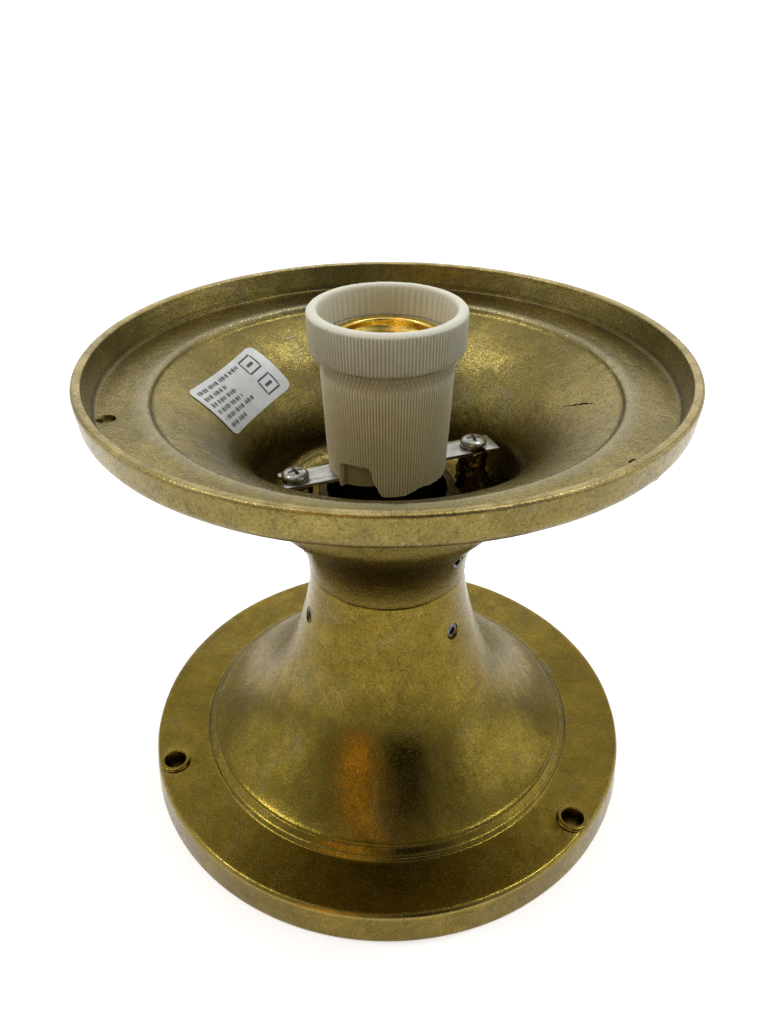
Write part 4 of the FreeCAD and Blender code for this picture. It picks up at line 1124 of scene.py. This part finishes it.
def bright_brass_material(name, dark, light, rough):
    """Rolled or turned brass, little tarnished."""
    kit = material_kit(name)
    tone = kit.ramp(kit.noise(180.0, 5.0), (0.35, dark), (0.62, light))
    kit.set(Base_Color=tone, Metallic=1.0)
    kit.set(Roughness=kit.ramp(kit.noise(420.0), (0.3, rough), (0.7, rough + 0.12)))
    kit.bump((kit.noise(1200.0), 0.015))
    return kit.owner


def steel_material(name, dark, light, rough, wear):
    """Plated or stainless steel with faint scratches."""
    kit = material_kit(name)
    turn = (0, 0, -STRAP_ANGLE)
    stretched = kit.new("ShaderNodeMapping", Vector=kit.place, Scale=(1.0, 9.0, 9.0), Rotation=turn)
    lines = kit.noise(260.0, 4.0, 0.6, 0.0, stretched.outputs["Vector"])
    blotch = kit.noise(330.0, 4.0, 0.6)
    tone = kit.ramp(blotch, (0.32, dark), (0.66, light))
    kit.set(Base_Color=kit.mix(kit.times(lines, wear), tone, dark), Metallic=1.0)
    kit.set(Roughness=kit.ramp(lines, (0.3, rough), (0.7, rough + 0.16)))
    kit.bump((lines, 0.01), (kit.noise(1500.0), 0.008))
    return kit.owner


def porcelain_material():
    """Unglazed steatite: grey-beige, brown on the lattice, pale on the lip, with painted shade in hollows,
    notch and skirt.
    """
    kit = material_kit("steatite")
    height = kit.height()
    tone = kit.ramp(kit.noise(70.0, 5.0, 0.6), (0.3, (0.72, 0.70, 0.53)), (0.7, (0.84, 0.82, 0.65)))
    lattice = kit.times(kit.line(height, 1.388, 0.040), 0.55)
    # Painted shade: the skirt is painted about a quarter darker than the body, to even out the top light
    # falling on it.
    skirt = kit.ramp(kit.math("SUBTRACT", height, 1.0), (0.408, 0.0), (0.418, 1.0))
    skirt_shaded = kit.mix(skirt, tone, kit.mix(1.0, tone, (0.76, 0.77, 0.80), "MULTIPLY"))
    browned = kit.mix(lattice, skirt_shaded, (0.30, 0.24, 0.125))
    lip = kit.ramp(kit.math("SUBTRACT", height, 1.0), (0.513, 0.0), (0.522, 1.0))
    pale = kit.mix(kit.times(lip, 0.85), browned, (0.70, 0.705, 0.61))
    # Painted shade: ambient occlusion paints the furrows between the ribs and the lattice a brownish dark.
    hollows = kit.new("ShaderNodeAmbientOcclusion", Distance=0.9 * MM)
    hollows.samples = 8
    groove_shade = kit.ramp(hollows.outputs["AO"], (0.35, 1.0), (0.88, 0.0))
    # Painted shade: inside the wire notch, pockets and channel and on the underside, the porcelain is
    # painted darker.
    foot = kit.times(kit.math("LESS_THAN", kit.radius(), 0.153), kit.math("LESS_THAN", height, 1.16))
    shaded = kit.mix(kit.times(foot, 0.65), pale, (0.26, 0.225, 0.12))
    crease_shaded = kit.mix(kit.times(groove_shade, 0.75), shaded, (0.17, 0.15, 0.085))
    specks = kit.ramp(kit.noise(1900.0, 2.0), (0.62, 0.0), (0.72, 0.4))
    kit.set(Base_Color=kit.mix(specks, crease_shaded, (0.30, 0.265, 0.165)), Roughness=0.55)
    kit.set(Specular_IOR_Level=0.4)
    kit.bump((kit.noise(1300.0, 3.0), 0.05))
    return kit.owner


def label_material():
    """Silver-white satin label."""
    kit = material_kit("label_foil")
    tone = kit.ramp(kit.noise(160.0, 4.0), (0.3, (0.50, 0.52, 0.53)), (0.7, (0.63, 0.65, 0.66)))
    kit.set(Base_Color=tone, Metallic=0.35)
    kit.set(Roughness=kit.ramp(kit.noise(800.0), (0.3, 0.34), (0.7, 0.46)))
    kit.bump((kit.noise(240.0, 3.0), 0.05))
    return kit.owner


def ink_material():
    """Worn dark print."""
    kit = material_kit("label_ink")
    tone = kit.ramp(kit.noise(900.0, 3.0), (0.35, (0.03, 0.03, 0.035)), (0.75, (0.12, 0.12, 0.13)))
    kit.set(Base_Color=tone)
    kit.set(Roughness=kit.ramp(kit.noise(700.0), (0.3, 0.5), (0.7, 0.65)))
    return kit.owner


def paint(item, material):
    """Give an object one material."""
    item.data.materials.clear()
    item.data.materials.append(material)


# ---------------------------------------------------------------- putting it together

def stand(piece, body, material, slot, *nodes):
    """Dress a new piece, let it ride on a body and let it stand for its CAD nodes."""
    paint(piece, material)
    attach(piece, body)
    if nodes:
        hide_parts(*nodes)


def build():
    """Make every piece."""
    tube = tube_material()
    shell = bright_brass_material("shell_brass", (0.62, 0.42, 0.08), (0.95, 0.72, 0.20), 0.2)
    bronze = bright_brass_material("contact_bronze", (0.46, 0.28, 0.14), (0.68, 0.44, 0.25), 0.3)
    plate = steel_material("zinc_plate", (0.38, 0.385, 0.38), (0.56, 0.565, 0.56), 0.26, 0.35)
    stainless = steel_material("stainless", (0.24, 0.235, 0.225), (0.46, 0.455, 0.44), 0.2, 0.25)
    dark = steel_material("dark_steel", (0.10, 0.10, 0.10), (0.26, 0.26, 0.27), 0.3, 0.3)
    porcelain = porcelain_material()

    stand(make_base_casting(), "foot", foot_brass(), "aged_brass", "base_casting")
    stand(make_dish_casting(), "dish", dish_brass(), "aged_brass", "dish_casting")
    stand(make_neck_tube(), "foot", tube, "tube_brass", "neck_tube")
    for i, angle in enumerate(LOCK_ANGLES, start=1):
        lower = make_grub_screw(f"lower_grub_{i}_skin", angle, LOWER_GRUB_LEVEL, 2.45, 5.4)
        stand(lower, f"lower_grub_{i}", dark, "dark_steel", f"lower_grub_screw_{i}")
        upper = make_grub_screw(f"upper_grub_{i}_skin", angle, UPPER_GRUB_LEVEL, 2.48, 6.0)
        stand(upper, "dish", dark, "dark_steel", f"upper_grub_screw_{i}")
    stand(make_porcelain(), "dish", porcelain, "porcelain", "lampholder_body")
    stand(make_shell(), "dish", shell, "shell_brass", "threaded_shell")
    stand(make_strap(), "dish", plate, "zinc_plate", "holder_bracket")
    for side, name, turn in ((-1, "strap_screw_left", 0.5), (1, "strap_screw_right", 0.15)):
        stand(make_strap_screw(name, side, turn), name, stainless, "screw_steel", name)
    label, ink = make_label()
    stand(label, "dish", label_material(), "label_foil", "rating_label")
    stand(ink, "dish", ink_material(), "label_foil")
    brass_nodes = ["earth_screw", "earth_washer"]
    steel_nodes = ["holder_screw_left", "holder_screw_right", "holder_nut_left", "holder_nut_right"]
    for pole in ("live", "neutral"):
        brass_nodes += [f"{pole}_rivet", f"{pole}_terminal"]
        steel_nodes.append(f"{pole}_terminal_screw")
    plain = ((bronze, ["contact_plate", "centre_contact"]), (shell, brass_nodes), (stainless, steel_nodes))
    for material, nodes in plain:
        for node in nodes:
            paint(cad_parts[node], material)


# ---------------------------------------------------------------- floor, light and camera

# Camera: place in metres, focal length in millimetres, shift as a share of the longer side of the frame.
# A sector of the sky has a bearing in degrees, a spread (half its width over its distance) and a colour.
CAMERA_DISTANCE = 0.2071
CAMERA_HEIGHT = 0.2245
CAMERA_PITCH = math.radians(32.96)
FOCAL_LENGTH = 29.3871
LENS_SHIFT = -0.0032227
SECTOR_FOOT = 0.17
SECTOR_FULL = 0.27
SURROUND = (0.58, 0.595, 0.61)
SECTORS = (
    (90.0, 1.2, (0.86, 0.84, 0.76)),
    (-90.0, 1.6, (0.36, 0.36, 0.35)),
    (-116.0, 0.22, (1.3, 0.72, 0.18)),
    (-74.0, 0.34, (0.03, 0.028, 0.025)),
)
FLOOR_HALF = 14.0
FLOOR_GLOW = 0.53


def area_light(name, place, aim, size, power):
    """A soft rectangular lamp pointed at a place."""
    light = bpy.data.lights.new(name, "AREA")
    light.shape = "RECTANGLE"
    light.size, light.size_y = size
    light.energy = power
    item = bpy.data.objects.new(name, light)
    item.location = place
    item.rotation_mode = "QUATERNION"
    item.rotation_quaternion = (Vector(aim) - Vector(place)).to_track_quat("-Z", "Y")
    bpy.context.scene.collection.objects.link(item)


def along(kit, bearing):
    """How far a direction points along a level bearing."""
    node = kit.tree.nodes.new("ShaderNodeVectorMath")
    node.operation = "DOT_PRODUCT"
    kit.feed(node.inputs[0], kit.place)
    kit.feed(node.inputs[1], (math.cos(bearing), math.sin(bearing), 0))
    return node.outputs["Value"]


def sector(kit, bearing, spread):
    """How far inside a sector of the sky a direction lies; a sector starts a little above the horizon."""
    sideways = kit.math("ABSOLUTE", along(kit, bearing + math.pi / 2))
    gap = kit.math("SUBTRACT", kit.times(along(kit, bearing), spread), sideways)
    level = kit.new("ShaderNodeSeparateXYZ", Vector=kit.place).outputs["Z"]
    return kit.times(kit.fade(gap, -0.02, 0.06), kit.fade(level, SECTOR_FOOT, SECTOR_FULL))


def studio_world():
    """Soft light from all round, brighter at the back, with a dark and a warm stretch high at the front."""
    kit = Nodes(bpy.data.worlds.new("studio"), "Background", "Generated")
    colour = SURROUND
    for bearing, spread, tint in SECTORS:
        colour = kit.mix(sector(kit, math.radians(bearing), spread), colour, tint)
    kit.set(Color=colour)
    bpy.context.scene.world = kit.owner


def stage():
    """Pale floor, soft studio light and the camera."""
    mesh = bpy.data.meshes.new("floor")
    corners = [(x * FLOOR_HALF, y * FLOOR_HALF, 0) for x, y in ((-1, -1), (1, -1), (1, 1), (-1, 1))]
    mesh.from_pydata(corners, [], [(0, 1, 2, 3)])
    floor = bpy.data.objects.new("floor", mesh)
    bpy.context.scene.collection.objects.link(floor)
    kit = material_kit("floor_paper")
    kit.set(Base_Color=kit.ramp(kit.noise(3.0), (0.3, 0.84), (0.7, 0.86)), Roughness=0.9)
    kit.set(Emission_Color=kit.ramp(kit.noise(3.0), (0.3, 0.98), (0.7, 1.0)))
    kit.set(Emission_Strength=FLOOR_GLOW)
    paint(floor, kit.owner)

    studio_world()
    area_light("top", (0, 0.3, 1.5), (0, 0.3, 0), (1.7, 0.6), 3.6)
    area_light("key_right", (0.65, 0.26, 1.5), (0, 0, 0.12), (0.24, 0.24), 3.1)
    area_light("key_left", (-0.88, 0.15, 1.5), (0, 0, 0.12), (0.24, 0.24), 3.4)
    area_light("left", (-1.2, 0.0, 0.6), (0, 0, 0.1), (1.2, 0.8), 1.9)
    area_light("right", (1.2, 0.0, 0.6), (0, 0, 0.1), (1.2, 0.8), 2.5)
    area_light("back", (0, 1.6, 0.75), (0, 0, 0.1), (2.2, 0.8), 4.2)

    lens = bpy.data.cameras.new("camera")
    lens.lens = FOCAL_LENGTH
    lens.shift_x = LENS_SHIFT
    lens.clip_start = 0.01
    camera = bpy.data.objects.new("camera", lens)
    camera.location = (0, -CAMERA_DISTANCE, CAMERA_HEIGHT)
    camera.rotation_euler = (math.pi / 2 - CAMERA_PITCH, 0, 0)
    bpy.context.scene.collection.objects.link(camera)
    bpy.context.scene.camera = camera
    bpy.context.scene.view_settings.view_transform = "Standard"


build()
stage()
